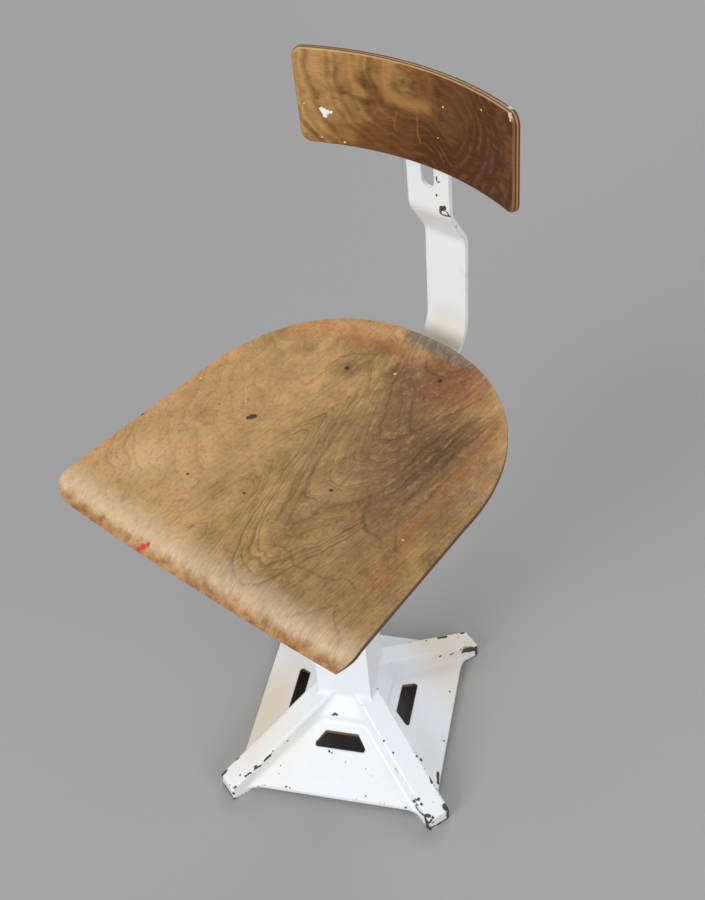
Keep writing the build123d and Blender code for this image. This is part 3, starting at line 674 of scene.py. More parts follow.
print("ring spacings, mm:", round(SEAT_BROAD_RING / MM, 1), round(SEAT_FINE_RING / MM, 1))

# %% [markdown]
# ## Ground of the seat
# Under its grain the old veneer is blotchy: golden, olive and pink, with the stains over that. One noise
# looks like a sky of clouds, so noises of several sizes lie over each other. The place is shaken before a
# stain is painted, and its outline turns ragged: more so for a broad zone than for a small one.

# %% Ground of the seat veneer


def seat_ground(finish, flat, place):
    """Colour of the bare veneer: clouds, soft stains and rubbed or darkened bands."""
    cloud = finish.noise(flat, 42 * MM, stretch=(1, 1.7, 1), detail=5.0, rough=0.6)
    mottle = finish.noise(flat, 8 * MM, stretch=(1, 1.9, 1), detail=4.0, rough=0.65)
    body = finish.mix(finish.step(cloud, 0.33, 0.67), SEAT_OLIVE, SEAT_GOLD)
    blush = finish.noise(finish.shaken(flat, 30 * MM, 60 * MM), 30 * MM, stretch=(1, 1.5, 1), detail=3.0)
    body = stained(finish, body, finish.step(blush, 0.5, 0.75), 0.6, SEAT_PINK)
    broken = finish.scale(mottle, 0.35, 1.35)
    drifting = finish.shaken(finish.shaken(place, 60 * MM, 70 * MM), 14 * MM, 20 * MM)
    steady = finish.shaken(place, 12 * MM, 18 * MM)
    for pixel, radius, soft, tone, weight in SEAT_ZONES:
        around = drifting if radius > BROAD_ZONE else steady
        mask = finish.spot(around, photo_place(pixel, seat), radius * MM, soft * MM)
        body = stained(finish, body, mask, finish.times(broken, weight), tone)
    drifting = finish.vector("MULTIPLY", finish.shaken(place, 8 * MM, 9 * MM), tuple(SEEN_FROM_ABOVE))
    for line, width, tone, weight in SEAT_SWEEPS:
        mask = finish.strokes(drifting, photo_lines(seat, [line], SEEN_FROM_ABOVE), width * MM)
        body = stained(finish, body, mask, finish.times(broken, weight), tone)
    grit = finish.noise(flat, 3.2 * MM, stretch=(1, 1.4, 1), detail=3.0, rough=0.7)
    for texture in (mottle, grit):
        body = stained(finish, body, finish.step(texture, 0.50, 0.72), 0.4, colour(116, 86, 50))
        body = stained(finish, body, finish.step(texture, 0.48, 0.28), 0.3, colour(214, 178, 122))
    return body


print("broad zones:", sum(zone[1] > BROAD_ZONE for zone in SEAT_ZONES))

# %% [markdown]
# ## Grain of the seat
# Rings, fibres and pores follow the flat veneer, and a few figure lines are strokes laid on from above.
# Noise alone never gives the lines that the eye remembers, so those are drawn. Fibres and pores also make
# the fine relief that breaks up the shine.

# %% Grain of the seat veneer


def seat_grain(finish, body, flat, place):
    """The ground with growth rings, figure lines, fibres and pores over it, and their relief."""
    patch = finish.noise(flat, 45 * MM, stretch=(1, 2, 1))
    broad, fine, right = seat_rings(finish, flat)
    strength = finish.times(finish.scale(right, 0.3, 0.72), finish.step(patch, 0.22, 0.55))
    body = stained(finish, body, broad, strength, SEAT_DARK)
    body = stained(finish, body, fine, finish.scale(right, 0.25, 0.6), SEAT_DARK)
    plan = finish.shaken(finish.shaken(place, 18 * MM, 9 * MM), 5 * MM, 2.5 * MM)
    plan = finish.vector("MULTIPLY", plan, tuple(SEEN_FROM_ABOVE))
    for lines, weight in ((SEAT_FIGURE, 0.65), (SEAT_STREAKS, 1.1)):
        figure = finish.strokes(plan, photo_lines(seat, lines, SEEN_FROM_ABOVE), 2.8 * MM)
        body = stained(finish, body, figure, finish.scale(patch, 0.1 * weight, weight), SEAT_LINE)
    fibre = finish.noise(flat, 1.6 * MM, stretch=(1, 18, 1), detail=3.0, rough=0.6)
    body = stained(finish, body, finish.step(fibre, 0.42, 0.72), finish.scale(right, 0.12, 0.26), SEAT_DARK)
    pores = finish.step(finish.noise(flat, 1.1 * MM, stretch=(1, 7, 1), detail=1.0), 0.60, 0.70)
    body = stained(finish, body, pores, finish.scale(right, 0.08, 0.28), SEAT_DARK)
    relief = finish.total(finish.times(fibre, 0.5), finish.times(pores, -0.6))
    return body, relief, fibre


print("figure lines:", len(SEAT_FIGURE), "and dark streaks:", len(SEAT_STREAKS))

# %% [markdown]
# ## Wear and painted highlight of the seat
# The crest of the front roll is pale, partly rubbed wear and partly a painted highlight, and the lip below it
# is brown. Both are bands along the run of the sheet with ragged borders. The depth in the ply then chooses
# between face, cut plies and underside, so that one material serves the whole sheet.

# %% Wear and finish of the seat
CREST_RISE, CREST_FADE, LIP_FADE = (12 * MM, 27 * MM), (60 * MM, 28 * MM), (24 * MM, 10 * MM)
RAGGEDNESS = 16 * MM


def seat_wear(finish, body, flat, place):
    """The grained face with its pale crest, partly rubbed and partly a painted highlight, brown lip and single
    marks.
    """
    run = finish.split(flat)[1]
    rub = finish.noise(flat, 8 * MM, stretch=(1.5, 1.5, 1), detail=5.0, rough=0.65)
    streak = finish.noise(flat, 2.5 * MM, stretch=(1, 4, 1), detail=2.0)
    ragged = finish.math("MULTIPLY_ADD", rub, RAGGEDNESS, run)
    # Painted highlight: the pale band on the crest is partly rubbed veneer and partly the roll's highlight painted
    # into the colour.
    crest_wear_and_highlight = finish.times(finish.step(ragged, *CREST_RISE), finish.step(ragged, *CREST_FADE))
    broken = finish.times(finish.scale(rub, 0.1, 1.2), finish.scale(streak, 0.2, 1.6))
    body = stained(finish, body, crest_wear_and_highlight, broken, colour(216, 194, 164))
    lip = finish.step(ragged, *LIP_FADE)
    brown = finish.mix(finish.step(rub, 0.35, 0.65), colour(132, 88, 54), colour(190, 142, 92))
    body = stained(finish, body, lip, 0.85, brown)
    shaky = finish.shaken(place, 4 * MM, 3 * MM)
    for marks, tone, weight in ((DARK_SPOTS, colour(44, 34, 29), 0.9),
                                (RED_FLECK, colour(200, 54, 38), 0.95),
                                (PALE_DOTS, colour(222, 208, 184), 0.85)):
        mask = finish.spots(shaky, photo_marks(seat, marks), edge=0.3)
        body = stained(finish, body, mask, weight, tone)
    return body


def seat_finish():
    """Veneer of the seat with its face, its five plies at the edge and its plain underside."""
    finish = Finish("worn seat veneer", Specular_IOR_Level=0.25, Coat_Weight=0.08, Coat_Roughness=0.3)
    flat = finish.put("ShaderNodeAttribute", {}, out=1, attribute_name="veneer")
    place, depth = finish.place(), finish.split(flat)[2]
    body, relief, fibre = seat_grain(finish, seat_ground(finish, flat, place), flat, place)
    body = seat_wear(finish, body, flat, place)
    plies = ply_edge(finish, flat, depth, SEAT_PLY, SEAT_PLIES, colour(140, 104, 68), colour(78, 54, 36))
    body = finish.mix(finish.step(depth, 0.9 * MM, 1.5 * MM), body, plies)
    under = finish.step(depth, SEAT_PLY - 1.2 * MM, SEAT_PLY - 0.4 * MM)
    below = finish.mix(fibre, colour(104, 76, 50), colour(142, 108, 72))
    finish.set("Base Color", finish.mix(under, body, below))
    finish.set("Roughness", finish.scale(fibre, 0.4, 0.6))
    finish.set("Normal", finish.bump(relief, 0.06 * MM))
    return finish.material


seat.data.materials.append(seat_finish())
print("strokes on the seat:", len(SEAT_FIGURE) + len(SEAT_STREAKS) + len(SEAT_SWEEPS))

# %% [markdown]
# ## Figure of the backrest
# The grain runs round two eddies. The distance from a point has rings for its level lines, so two such
# distances are joined, and noise added to them makes the rings uneven. Soft bands suit this wood, which
# has no sharp dark ends to its rings.

# %% Figure of the backrest
BACK_GOLD, BACK_MID, BACK_DARK = colour(192, 149, 92), colour(124, 81, 40), colour(76, 40, 16)
BACK_RING, BACK_PALE_RING = colour(84, 50, 22), colour(130, 90, 50)
BACK_EDDIES = [(408, 82), (436, 122)]
WHITE_CHIP = [(324, 111.5, 3.2), (321.5, 109, 2.2), (327.5, 112, 2.4), (325, 115.5, 2.2), (331, 112.4, 1.4)]
# Pale paint specks on the backrest; the last five, at the upper right corner, are painted glints of the lacquer.
BACK_SPECKS_AND_GLINTS = [(322, 137, 1.0), (345, 142, 1.1), (481, 110, 0.9), (304, 103, 0.7), (443, 107, 0.8),
             (438, 138, 0.7), (513.5, 102.5, 2.6), (516, 104.5, 2.2), (509.5, 114, 1.5), (510, 117, 1.7),
             (510.5, 120.5, 1.4)]
BACK_KNOTS = [(403, 81, 2.6), (412, 86, 3.4), (437, 93, 4.2), (439, 104, 3.4), (440, 116, 4.2),
              (414, 84, 2.4)]
BACK_ARCS = [
    [(335, 68), (333, 80), (340, 90), (349, 95), (372, 103)],
    [(373, 63), (364, 76), (366, 91), (379, 103), (398, 110)],
    [(455, 117), (463, 130), (471, 145)],
    [(492, 118), (503, 131), (499, 148)],
]
BACK_GLOWS = [[(390, 68), (384, 80), (388, 94), (402, 104), (424, 106)], [(352, 66), (350, 78), (358, 90)]]
PALE_DRIPS = [[(396.5, 113), (397, 131)], [(416.5, 111), (418, 142)]]
SEEN_FROM_FRONT = Vector((1, 0, 1))
BACK_EDDY_CHANGE = 5 * MM, 45 * MM
BACK_BROAD_BAND, BACK_FINE_BAND = 9 * MM, 2.4 * MM


def back_rings(finish, flat, place, slow, quick):
    """Growth rings of the backrest, round an eddy on the left and another on the right."""
    along = finish.split(flat)[0]
    plan = finish.vector("MULTIPLY", place, tuple(SEEN_FROM_FRONT))
    eddies = [finish.vector("DISTANCE", plan, tuple(photo_place(pixel, backrest) * SEEN_FROM_FRONT), out=1)
              for pixel in BACK_EDDIES]
    right = finish.step(along, *BACK_EDDY_CHANGE)
    eddy = finish.between(right, *eddies)
    field = finish.total(eddy, finish.scale(slow, 0, 26 * MM), finish.scale(quick, 0, 9 * MM))
    broad = finish.times(veneer_bands(finish, field, BACK_BROAD_BAND), finish.step(eddy, 6 * MM, 26 * MM))
    return broad, veneer_bands(finish, field, BACK_FINE_BAND)


print("eddies:", len(BACK_EDDIES), "and knots:", len(BACK_KNOTS))

# %% [markdown]
# ## Face of the backrest
# The wood is golden on the photograph's left and dark brown on its right. A slope over the panel with noise
# in it makes that change. Rings, glows, arcs, drips, fibres and knots then follow, each a mask and a tone
# laid over what came before, so a line can be taken out to see what it does.

# %% Face of the backrest
SHADE_ALONG, SHADE_UP, SHADE_LEVEL = 6.6, -6.0, 0.43


def back_face(finish, flat, place):
    """Colour of the backrest's face: a golden to dark ground with rings, arcs, drips and knots."""
    along, height, _ = finish.split(flat)
    slow = finish.noise(flat, 55 * MM, stretch=(1.6, 1, 1), detail=4.0)
    quick = finish.noise(flat, 11 * MM, stretch=(2.0, 1, 1), detail=4.0, rough=0.6)
    shade = finish.total(finish.times(along, SHADE_ALONG), finish.times(height, SHADE_UP),
                         finish.scale(slow, -0.55, 0.55), finish.scale(quick, -0.5, 0.5), SHADE_LEVEL)
    body = finish.mix(finish.step(shade, -0.45, 0.35), BACK_GOLD, BACK_MID)
    body = finish.mix(finish.step(shade, 0.15, 0.9), body, BACK_DARK)
    broad, fine = back_rings(finish, flat, place, slow, quick)
    body = stained(finish, body, broad, finish.scale(quick, 0.3, 0.8), BACK_RING)
    body = stained(finish, body, fine, 0.28, BACK_RING)
    gaps = finish.times(finish.step(broad, 0.6, 0.1), finish.step(quick, 0.38, 0.62))
    in_dark = finish.scale(finish.step(shade, 0.2, 0.8), 0.0, 0.5)
    body = stained(finish, body, gaps, in_dark, BACK_PALE_RING)
    plan = finish.shaken(finish.shaken(place, 20 * MM, 14 * MM), 6 * MM, 5 * MM)
    plan = finish.vector("MULTIPLY", plan, tuple(SEEN_FROM_FRONT))
    for lines, width, tone, weight in ((BACK_GLOWS, 11, colour(184, 138, 78), 0.6),
                                       (BACK_ARCS, 5, colour(86, 60, 26), 0.45),
                                       (PALE_DRIPS, 2.0, colour(150, 108, 66), 0.5)):
        mask = finish.strokes(plan, photo_lines(backrest, lines, SEEN_FROM_FRONT), width * MM)
        body = stained(finish, body, mask, finish.scale(quick, 0.3 * weight, 1.7 * weight), tone)
    fibre = finish.noise(flat, 1.0 * MM, stretch=(12, 1, 1), detail=3.0)
    body = stained(finish, body, finish.step(fibre, 0.40, 0.72), 0.22, BACK_DARK)
    body = stained(finish, body, finish.step(fibre, 0.48, 0.3), 0.1, BACK_GOLD)
    shaky = finish.shaken(place, 7 * MM, 8 * MM)
    knots = finish.spots(shaky, photo_marks(backrest, BACK_KNOTS), edge=0.7)
    body = stained(finish, body, knots, 0.5, colour(60, 34, 16))
    return body, fibre, slow


print("change of shade from end to end:", round(SHADE_ALONG * BACK_RADIUS * BACK_ARC, 2))

# %% [markdown]
# ## Finish of the backrest
# The upper arris is pale, partly rubbed to light wood and partly a painted highlight, and the cut plies are
# brown, with dark seams; on the long edges their olive tone is partly a painted reflection. A second material
# for the edge would need a border in the mesh. The depth in the ply gives the same border inside one
# material. The paint specks and the white chip go on last, as they did on the chair, and with them pale dots
# at the upper right corner that are painted glints.

# %% Edge and finish of the backrest


def back_edge_tone(finish, face, flat, slow):
    """The face's colour carried over the edge: a pale arris along the top, partly rubbed and partly a painted
    highlight, and ridged brown plies, olive on the long edges as a partly painted reflection.
    """
    along, height, depth = finish.split(flat)
    top = finish.step(height, 40 * MM, 47 * MM)
    ends = finish.step(finish.math("ABSOLUTE", along), 118 * MM, 124 * MM)
    # Painted highlight: the pale arris along the top is partly rubbed wood and partly a highlight painted where
    # the edge faces up.
    worn_and_highlit = finish.times(finish.step(depth, 0.1 * MM, 0.5 * MM), finish.scale(slow, 0.4, 1.1))
    body = stained(finish, face, worn_and_highlit, finish.scale(top, 0.3, 1.0), colour(204, 164, 106))
    body = finish.mix(finish.step(depth, 1.0 * MM, 1.5 * MM), body, colour(76, 50, 28))
    # Painted reflection: the olive tone of the plies on the long edges is partly ply colour and partly a
    # reflection painted in; at the ends they are pink-brown.
    light = finish.mix(ends, colour(158, 132, 88), colour(186, 138, 96))
    dark = finish.mix(ends, colour(108, 82, 50), colour(112, 70, 42))
    plies = ply_edge(finish, flat, depth, BACK_PLY, BACK_PLIES, light, dark)
    body = finish.mix(finish.step(depth, 1.8 * MM, 2.2 * MM), body, plies)
    rear = finish.step(depth, BACK_PLY - 0.9 * MM, BACK_PLY - 0.3 * MM)
    behind = finish.mix(slow, colour(150, 102, 58), colour(94, 58, 30))
    return finish.mix(rear, body, finish.mix(0.5, face, behind))


def back_finish():
    """Lacquered veneer of the backrest, with the paint specks and the chip that sit on it, and glints painted at
    its upper right corner.
    """
    finish = Finish("lacquered backrest veneer", Roughness=0.45, Specular_IOR_Level=0.1, Coat_Weight=0.2,
                    Coat_Roughness=0.07)
    flat = finish.put("ShaderNodeAttribute", {}, out=1, attribute_name="veneer")
    place = finish.place()
    body, fibre, slow = back_face(finish, flat, place)
    body = back_edge_tone(finish, body, flat, slow)
    shaky = finish.shaken(place, 2.5 * MM, 2.4 * MM)
    # Pale specks, painted glints at the upper right corner and the white chip go on last.
    for marks, tone in ((BACK_SPECKS_AND_GLINTS, colour(216, 200, 176)), (WHITE_CHIP, colour(240, 240, 238))):
        body = finish.mix(finish.spots(shaky, photo_marks(backrest, marks), edge=0.3), body, tone)
    finish.set("Base Color", body)
    finish.set("Normal", finish.bump(fibre, 0.02 * MM))
    return finish.material


backrest.data.materials.append(back_finish())
print("strokes on the backrest:", len(BACK_ARCS) + len(BACK_GLOWS) + len(PALE_DRIPS))

# %% [markdown]
# ## Chipped enamel
# The iron was brushed with thick white enamel more than once. Knocks have chipped it along the legs' edges
# and at the toes, down to dark iron, and age has tinted it cream in places. One function builds this
# finish for each painted piece, with its own chips. The casting's underside and the walls of its windows
# are coloured dark brown: the hollow is found from the plane of the panels, in the frame of the base, which
# stands turned under the seat.

# %% Places of chips and scrapes
ENAMEL, CREAM, IRON = colour(237, 241, 245), colour(230, 217, 196), colour(46, 41, 41)
BAR_CHIPS = [(442, 208.5, 3.0), (440.5, 210, 2.0), (444.5, 208, 2.2), (436.5, 195, 1.4), (456, 227, 0.8),
             (458, 231, 0.8)]
BAR_SCRAPES = [[(444, 210), (447.5, 213), (451, 216)], [(440, 212), (443, 215.5), (450, 216.3)],
               [(436.2, 177), (436.8, 182.5), (439.3, 181.8)]]
BAR_CREAM = [((445, 340), 28, 20, 0.8), ((467, 270), 5, 4, 0.5), ((467, 291), 5, 4, 0.5)]
BASE_CHIPS = [
    (335, 714, 1.7), (333.3, 714.8, 1.5), (337, 714.8, 1.5), (329, 751, 1.4), (332, 752.8, 1.0),
    (393.6, 752.5, 1.0), (396, 769.5, 1.7), (397.8, 772.4, 1.4), (384, 741, 1.2), (424.5, 768.6, 0.9),
    (432.8, 817.3, 1.7), (433.5, 822.4, 1.7), (272.8, 751.2, 1.1), (287.7, 741, 1.2), (235.3, 759.7, 1.3),
    (233, 793.5, 2.4), (229.2, 784.8, 0.9), (242, 794.8, 1.1), (286, 786.7, 1.4), (290, 788, 1.2),
    (280.8, 765.8, 0.8), (279, 773.6, 0.8), (366, 796.5, 1.1), (440, 656.5, 1.8), (451, 654.4, 1.8),
    (453, 653.4, 1.4), (426.3, 640.7, 1.4), (449.8, 691.5, 1.2), (443.7, 741, 1.4), (438, 775, 1.8),
    (346, 762, 0.8), (366, 769, 0.8), (371, 776, 0.7),
]
BASE_SCRAPES = [
    [(256, 768.5), (260.3, 765.8)], [(264.5, 761), (270.5, 755)], [(219.5, 775.8), (224.7, 769)],
    [(222, 782.5), (228, 791.5), (234, 799)], [(417, 756), (421.4, 760)], [(429.6, 776.5), (432, 782)],
    [(413, 801.5), (418.5, 799.3)], [(416.3, 805), (421.4, 804)],
    [(416.3, 807), (420.7, 813.4), (425.8, 815.4), (429.6, 816.3)], [(425.8, 817.3), (428.4, 829)],
    [(429.6, 823), (431.6, 820.5)], [(445.3, 805), (449.4, 810.3), (451.3, 815.4), (447.5, 818)],
    [(461, 633.2), (463.5, 632.6)], [(437.8, 638), (446.4, 636.4)], [(466, 664), (471.6, 660), (478, 655)],
    [(438, 773), (438, 783)], [(432, 827.5), (440, 823), (447, 818.5)],
]
TOE_KNOCKS = [
    [(464.5, 650.4), (471, 649.4), (477, 648.6)], [(477, 648.6), (479, 653)],
    [(225.5, 788.5), (233.5, 798.5)], [(219.8, 775.6), (224, 770.5)], [(426.3, 820), (428.4, 828.5)],
    [(446, 806.5), (449.4, 811), (450.8, 815)],
]
BASE_CREAM = [((258, 715), 75, 45, 0.95), ((440, 641), 45, 30, 0.75), ((470, 643), 10, 8, 0.6),
              ((455, 690), 30, 20, 0.35)]
BAR_SCRAPE_WIDTH, BASE_SCRAPE_WIDTH, KNOCK_WIDTH = 1.1, 2.3, 5.5
BASE_TURN = atan2(-joints["height_clamp_turn"]["axis"][0], joints["height_clamp_turn"]["axis"][1])
PANEL_PEAK, PANEL_SLOPE, HOLLOW_DEPTH, WINDOW_FOOT = 90.3 * MM, 0.66, 6.4 * MM, 92 * MM
TOE_REACH, TOE_HEIGHT, LEG_SLOPE, LEG_HALF = 180 * MM, 19.3 * MM, 0.52, 14.25 * MM
print("turn of the base, degrees:", round(BASE_TURN * 180 / pi, 1))

# %% [markdown]
# ## Coat of enamel
# A chip has a sharp border, lies lower than the paint and shows rough iron. An image of chips would blur
# close up. A mask from distances stays sharp, and the same mask sets colour, relief and roughness. The
# thick coat also rounds every edge of the casting, which a bevel in the shading shows.

# %% Enamel with chips
ENAMEL_RELIEF, ENAMEL_EDGE = 0.25 * MM, 2.5 * MM


def enamel_finish(name, piece, chips, scrapes, cream_spots, wear=None, hollow=None):
    """White enamel with chips and scrapes at photograph pixels, and masks for worn edges and a dark brown
    underside.
    """
    finish = Finish(name, Coat_Weight=0.15, Coat_Roughness=0.2)
    place = finish.place()
    soft = finish.noise(place, 70 * MM, detail=4.0)
    speck = finish.noise(place, 5 * MM, detail=4.0, rough=0.6)
    brush = finish.noise(place, 14 * MM, stretch=(1, 1, 2.5), detail=2.0)
    body = stained(finish, ENAMEL, finish.step(soft, 0.5, 0.85), 0.28, CREAM)
    for pixel, radius, edge, weight in cream_spots:
        around = finish.shaken(place, 30 * MM, 30 * MM)
        mask = finish.spot(around, photo_place(pixel, piece), radius * MM, edge * MM)
        body = stained(finish, body, mask, weight, CREAM)
    shaky = finish.shaken(finish.shaken(place, 6 * MM, 3.2 * MM), 1.6 * MM, 1.6 * MM)
    bare = finish.spots(shaky, photo_marks(piece, chips), edge=0.12)
    for lines, width in scrapes:
        mask = finish.strokes(shaky, photo_lines(piece, lines), width * MM, firm=0.6)
        bare = finish.math("MAXIMUM", bare, mask)
    if wear:
        bare = finish.math("MAXIMUM", bare, wear(finish, place, speck))
    body = finish.mix(bare, body, finish.mix(speck, IRON, colour(82, 70, 62)))
    lumps = finish.noise(place, 5 * MM, detail=3.0)
    height = finish.total(finish.times(bare, -0.7), brush, finish.times(lumps, 0.7))
    # The underside and the walls of the windows are coloured dark brown and made as rough as the chips.
    if hollow:
        inside = hollow(finish, place)
        body = finish.mix(inside, body, finish.mix(soft, colour(104, 78, 54), colour(140, 108, 76)))
        bare = finish.math("MAXIMUM", bare, inside)
    finish.set("Base Color", body)
    finish.set("Roughness", finish.scale(bare, 0.36, 0.7))
    finish.set("Normal", finish.bump(height, ENAMEL_RELIEF, edge=ENAMEL_EDGE))
    return finish.material


print("relief of the enamel, mm:", round(ENAMEL_RELIEF / MM, 2),
      "and rounded edges, mm:", round(ENAMEL_EDGE / MM, 1))

# %% [markdown]
# ## Worn edges of the base
# Small losses follow the legs' edges, the panels' rims and the toes' feet. To place each by hand would take
# long. Closeness to those edges raises a noise value instead, and the paint is gone only where its peaks
# pass a level. Each point is first turned into the frame of the base.

# %% Worn and bare places of the base
EDGE_WEAR, OUTER_WEAR, TOE_WEAR, RIM_WEAR = 0.17, 0.05, 0.2, 0.13
WEAR_LEVEL = 0.80, 0.82
RIM_START, RIM_END = (116 * MM, 119 * MM), (122 * MM, 121 * MM)


def base_place(finish, place):
    """Distances of a point in the frame of the base: to a side, along and across the nearest leg, up."""
    inputs = {"Vector": place, "Angle": -BASE_TURN}
    turned = finish.put("ShaderNodeVectorRotate", inputs, rotation_type="Z_AXIS")
    x, y, z = finish.split(turned)
    x, y = finish.math("ABSOLUTE", x), finish.math("ABSOLUTE", y)
    side = finish.math("MAXIMUM", x, y)
    along = finish.times(finish.math("ADD", x, y), sqrt(0.5))
    across = finish.math("ABSOLUTE", finish.times(finish.math("SUBTRACT", x, y), sqrt(0.5)))
    return side, along, across, z


def base_wear(finish, place, speck):
    """Worn enamel along the legs' upper edges, the panels' rims and under the toes."""
    side, along, across, z = base_place(finish, place)
    top = finish.math("MULTIPLY_ADD", along, -LEG_SLOPE, TOE_HEIGHT + LEG_SLOPE * TOE_REACH)
    from_top = finish.math("ABSOLUTE", finish.math("SUBTRACT", top, z))
    from_side = finish.math("ABSOLUTE", finish.math("SUBTRACT", across, LEG_HALF))
    edge = finish.step(finish.math("ADD", from_top, from_side), 4.5 * MM, 1.5 * MM)
    outer = finish.step(along, 60 * MM, 175 * MM)
    score = finish.total(speck, finish.times(edge, EDGE_WEAR), finish.times(outer, OUTER_WEAR))
    toe_foot = finish.times(finish.step(along, 145 * MM, 150 * MM), finish.step(z, 2.5 * MM, 0.8 * MM))
    rim = finish.times(finish.step(side, *RIM_START), finish.step(side, *RIM_END))
    score = finish.total(score, finish.times(toe_foot, TOE_WEAR), finish.times(rim, RIM_WEAR))
    return finish.step(score, *WEAR_LEVEL)


def base_hollow(finish, place):
    """Dark brown underside of the panels and walls of their windows."""
    side, along, across, z = base_place(finish, place)
    panel = finish.math("MULTIPLY_ADD", side, -PANEL_SLOPE, PANEL_PEAK)
    depth = finish.math("SUBTRACT", panel, z)
    below = finish.step(depth, HOLLOW_DEPTH, HOLLOW_DEPTH + 0.4 * MM)
    under = finish.times(below, finish.step(along, 146 * MM, 143 * MM))
    by_window = finish.step(side, WINDOW_FOOT + 2 * MM, WINDOW_FOOT)
    wall = finish.times(finish.step(depth, 1.0 * MM, 1.8 * MM), by_window)
    return finish.math("MAXIMUM", under, wall)


print("worn rim, mm from the middle:", round(RIM_START[0] / MM), "to", round(RIM_END[0] / MM))

# %% [markdown]
# ## Painted pieces
# The base and the bar have marks of their own. The painted pieces behind the wood share one plain coat,
# because the photograph shows no mark on them to follow.

# %% Enamel on the pieces


def dress(piece, material):
    """Put one finish on a solid."""
    piece.data.materials.clear()
    piece.data.materials.append(material)


base, upright = nodes["base_casting"], nodes["back_upright"]
base_scrapes = [(BASE_SCRAPES, BASE_SCRAPE_WIDTH), (TOE_KNOCKS, KNOCK_WIDTH)]
bar_scrapes = [(BAR_SCRAPES, BAR_SCRAPE_WIDTH)]
dress(base, enamel_finish("base enamel", base, BASE_CHIPS, base_scrapes, BASE_CREAM,
                          wear=base_wear, hollow=base_hollow))
dress(upright, enamel_finish("bar enamel", upright, BAR_CHIPS, bar_scrapes, BAR_CREAM))
hidden_enamel = enamel_finish("plain enamel", upright, BAR_CHIPS[:1], [], BAR_CREAM[:1])
for name in ("seat_spider", "bar_keeper", "back_bracket"):
    dress(nodes[name], hidden_enamel)
print("chips on the base:", len(BASE_CHIPS), "and scrapes:", len(BASE_SCRAPES))

# %% [markdown]
# ## Steel and bronze
# The pillar and the fasteners are plain steel, dulled by oil and hands, and the bushes are bronze. One
# function makes both metals from two tones, with cloudy stains and fine turning marks. The record of the
# part says which solid is which metal, so no list of names is needed here.

# %% Metal finishes


def metal_finish(name, bright, dull, roughness):
    """Metal with dull stains and fine turning marks."""
    finish = Finish(name, Metallic=1.0)
    place = finish.place()
    stain = finish.noise(place, 12 * MM, detail=5.0, rough=0.6)
    turned = finish.noise(place, 0.8 * MM, stretch=(8, 8, 1), detail=2.0)
    finish.set("Base Color", finish.mix(finish.step(stain, 0.35, 0.75), bright, dull))
    finish.set("Roughness", finish.scale(stain, roughness - 0.08, roughness + 0.2))
    finish.set("Normal", finish.bump(turned, 0.02 * MM))
    return finish.material


steel = metal_finish("oiled steel", colour(168, 166, 162), colour(104, 98, 90), 0.34)
bronze = metal_finish("bearing bronze", colour(196, 152, 92), colour(128, 92, 54), 0.36)
slots = {part["node"]: part["material_slot"] for part in frame["record"]["subparts"]}
for name, slot in slots.items():
    if slot in ("steel", "bronze"):
        dress(nodes[name], steel if slot == "steel" else bronze)
print("metal solids:", sum(slot in ("steel", "bronze") for slot in slots.values()))

# %% [markdown]
# ## Screws and threads
# Round-head screws hold the wood and the strap, and the stud and the clamp screw have a machine thread. The
# solids have plain cylinders there. A slotted head is a grid of rows across a disc: the rows beside the
# slot lie on the dome and two rows lie on the slot's floor, so its walls are sharp without a boolean.

# %% Slotted head
SLOT_HALF, SLOT_FLOOR, HEAD_RIM, LAST_ROW = 0.13, 0.5, 0.35, 0.99


def grid_faces(rows, columns, closed=False):
    """Faces between rows of points, in the order of their numbers, round a tube if closed."""
    faces = []
    for row in range(rows - 1):
        for column in range(columns if closed else columns - 1):
            ahead = (column + 1) % columns
            faces.append((row * columns + column, row * columns + ahead,
                          (row + 1) * columns + ahead, (row + 1) * columns + column))
    return faces


def slotted_head(radius, height, rows=7, columns=14):
    """Dome with a driver's slot that stands on the xy plane."""
    outer = list(np.linspace(radius * SLOT_HALF, radius * LAST_ROW, rows))
    lines = [(-v, 1.0) for v in reversed(outer)] + [(-outer[0], SLOT_FLOOR), (outer[0], SLOT_FLOOR)]
    lines += [(v, 1.0) for v in outer]
    points = []
    for v, top in lines:
        reach = sqrt(radius ** 2 - v ** 2)
        for u in np.linspace(-reach, reach, columns):
            dome = HEAD_RIM + (1 - HEAD_RIM) * sqrt(max(0.0, 1 - (u * u + v * v) / radius ** 2))
            points.append((u, v, height * min(dome, top)))
    faces, last = grid_faces(len(lines), columns), len(lines) - 1
    rim = list(range(columns)) + [row * columns + columns - 1 for row in range(1, last)]
    rim += [last * columns + column for column in reversed(range(columns))]
    rim += [row * columns for row in reversed(range(1, last))]
    foot = range(len(points), len(points) + len(rim))
    points += [(points[corner][0], points[corner][1], 0.0) for corner in rim]
    faces += [(rim[i - 1], foot[i - 1], foot[i], rim[i]) for i in range(len(rim))]
    return points, faces + [tuple(reversed(foot))]


print("faces of a slotted head:", len(slotted_head(4.6 * MM, 2.6 * MM)[1]))

# %% [markdown]
# ## Turned shapes and threads
# A head or a shank is a profile turned on a lathe, and a thread is a tube whose radius rises and falls
# along a helix. A screw modifier could sweep both, but it leaves their ends open. Rings of points with a
# face at each end make closed shapes.

# %% Turned shapes and threads
THREAD_RADIUS, THREAD_PITCH, THREAD_DEPTH = 6 * MM, 1.75 * MM, 0.55


def closed_tube(points, columns):
    """A tube of points, given ring by ring, with a flat face at each end."""
    ends = [tuple(reversed(range(columns))), tuple(range(len(points) - columns, len(points)))]
    return points, grid_faces(len(points) // columns, columns, closed=True) + ends


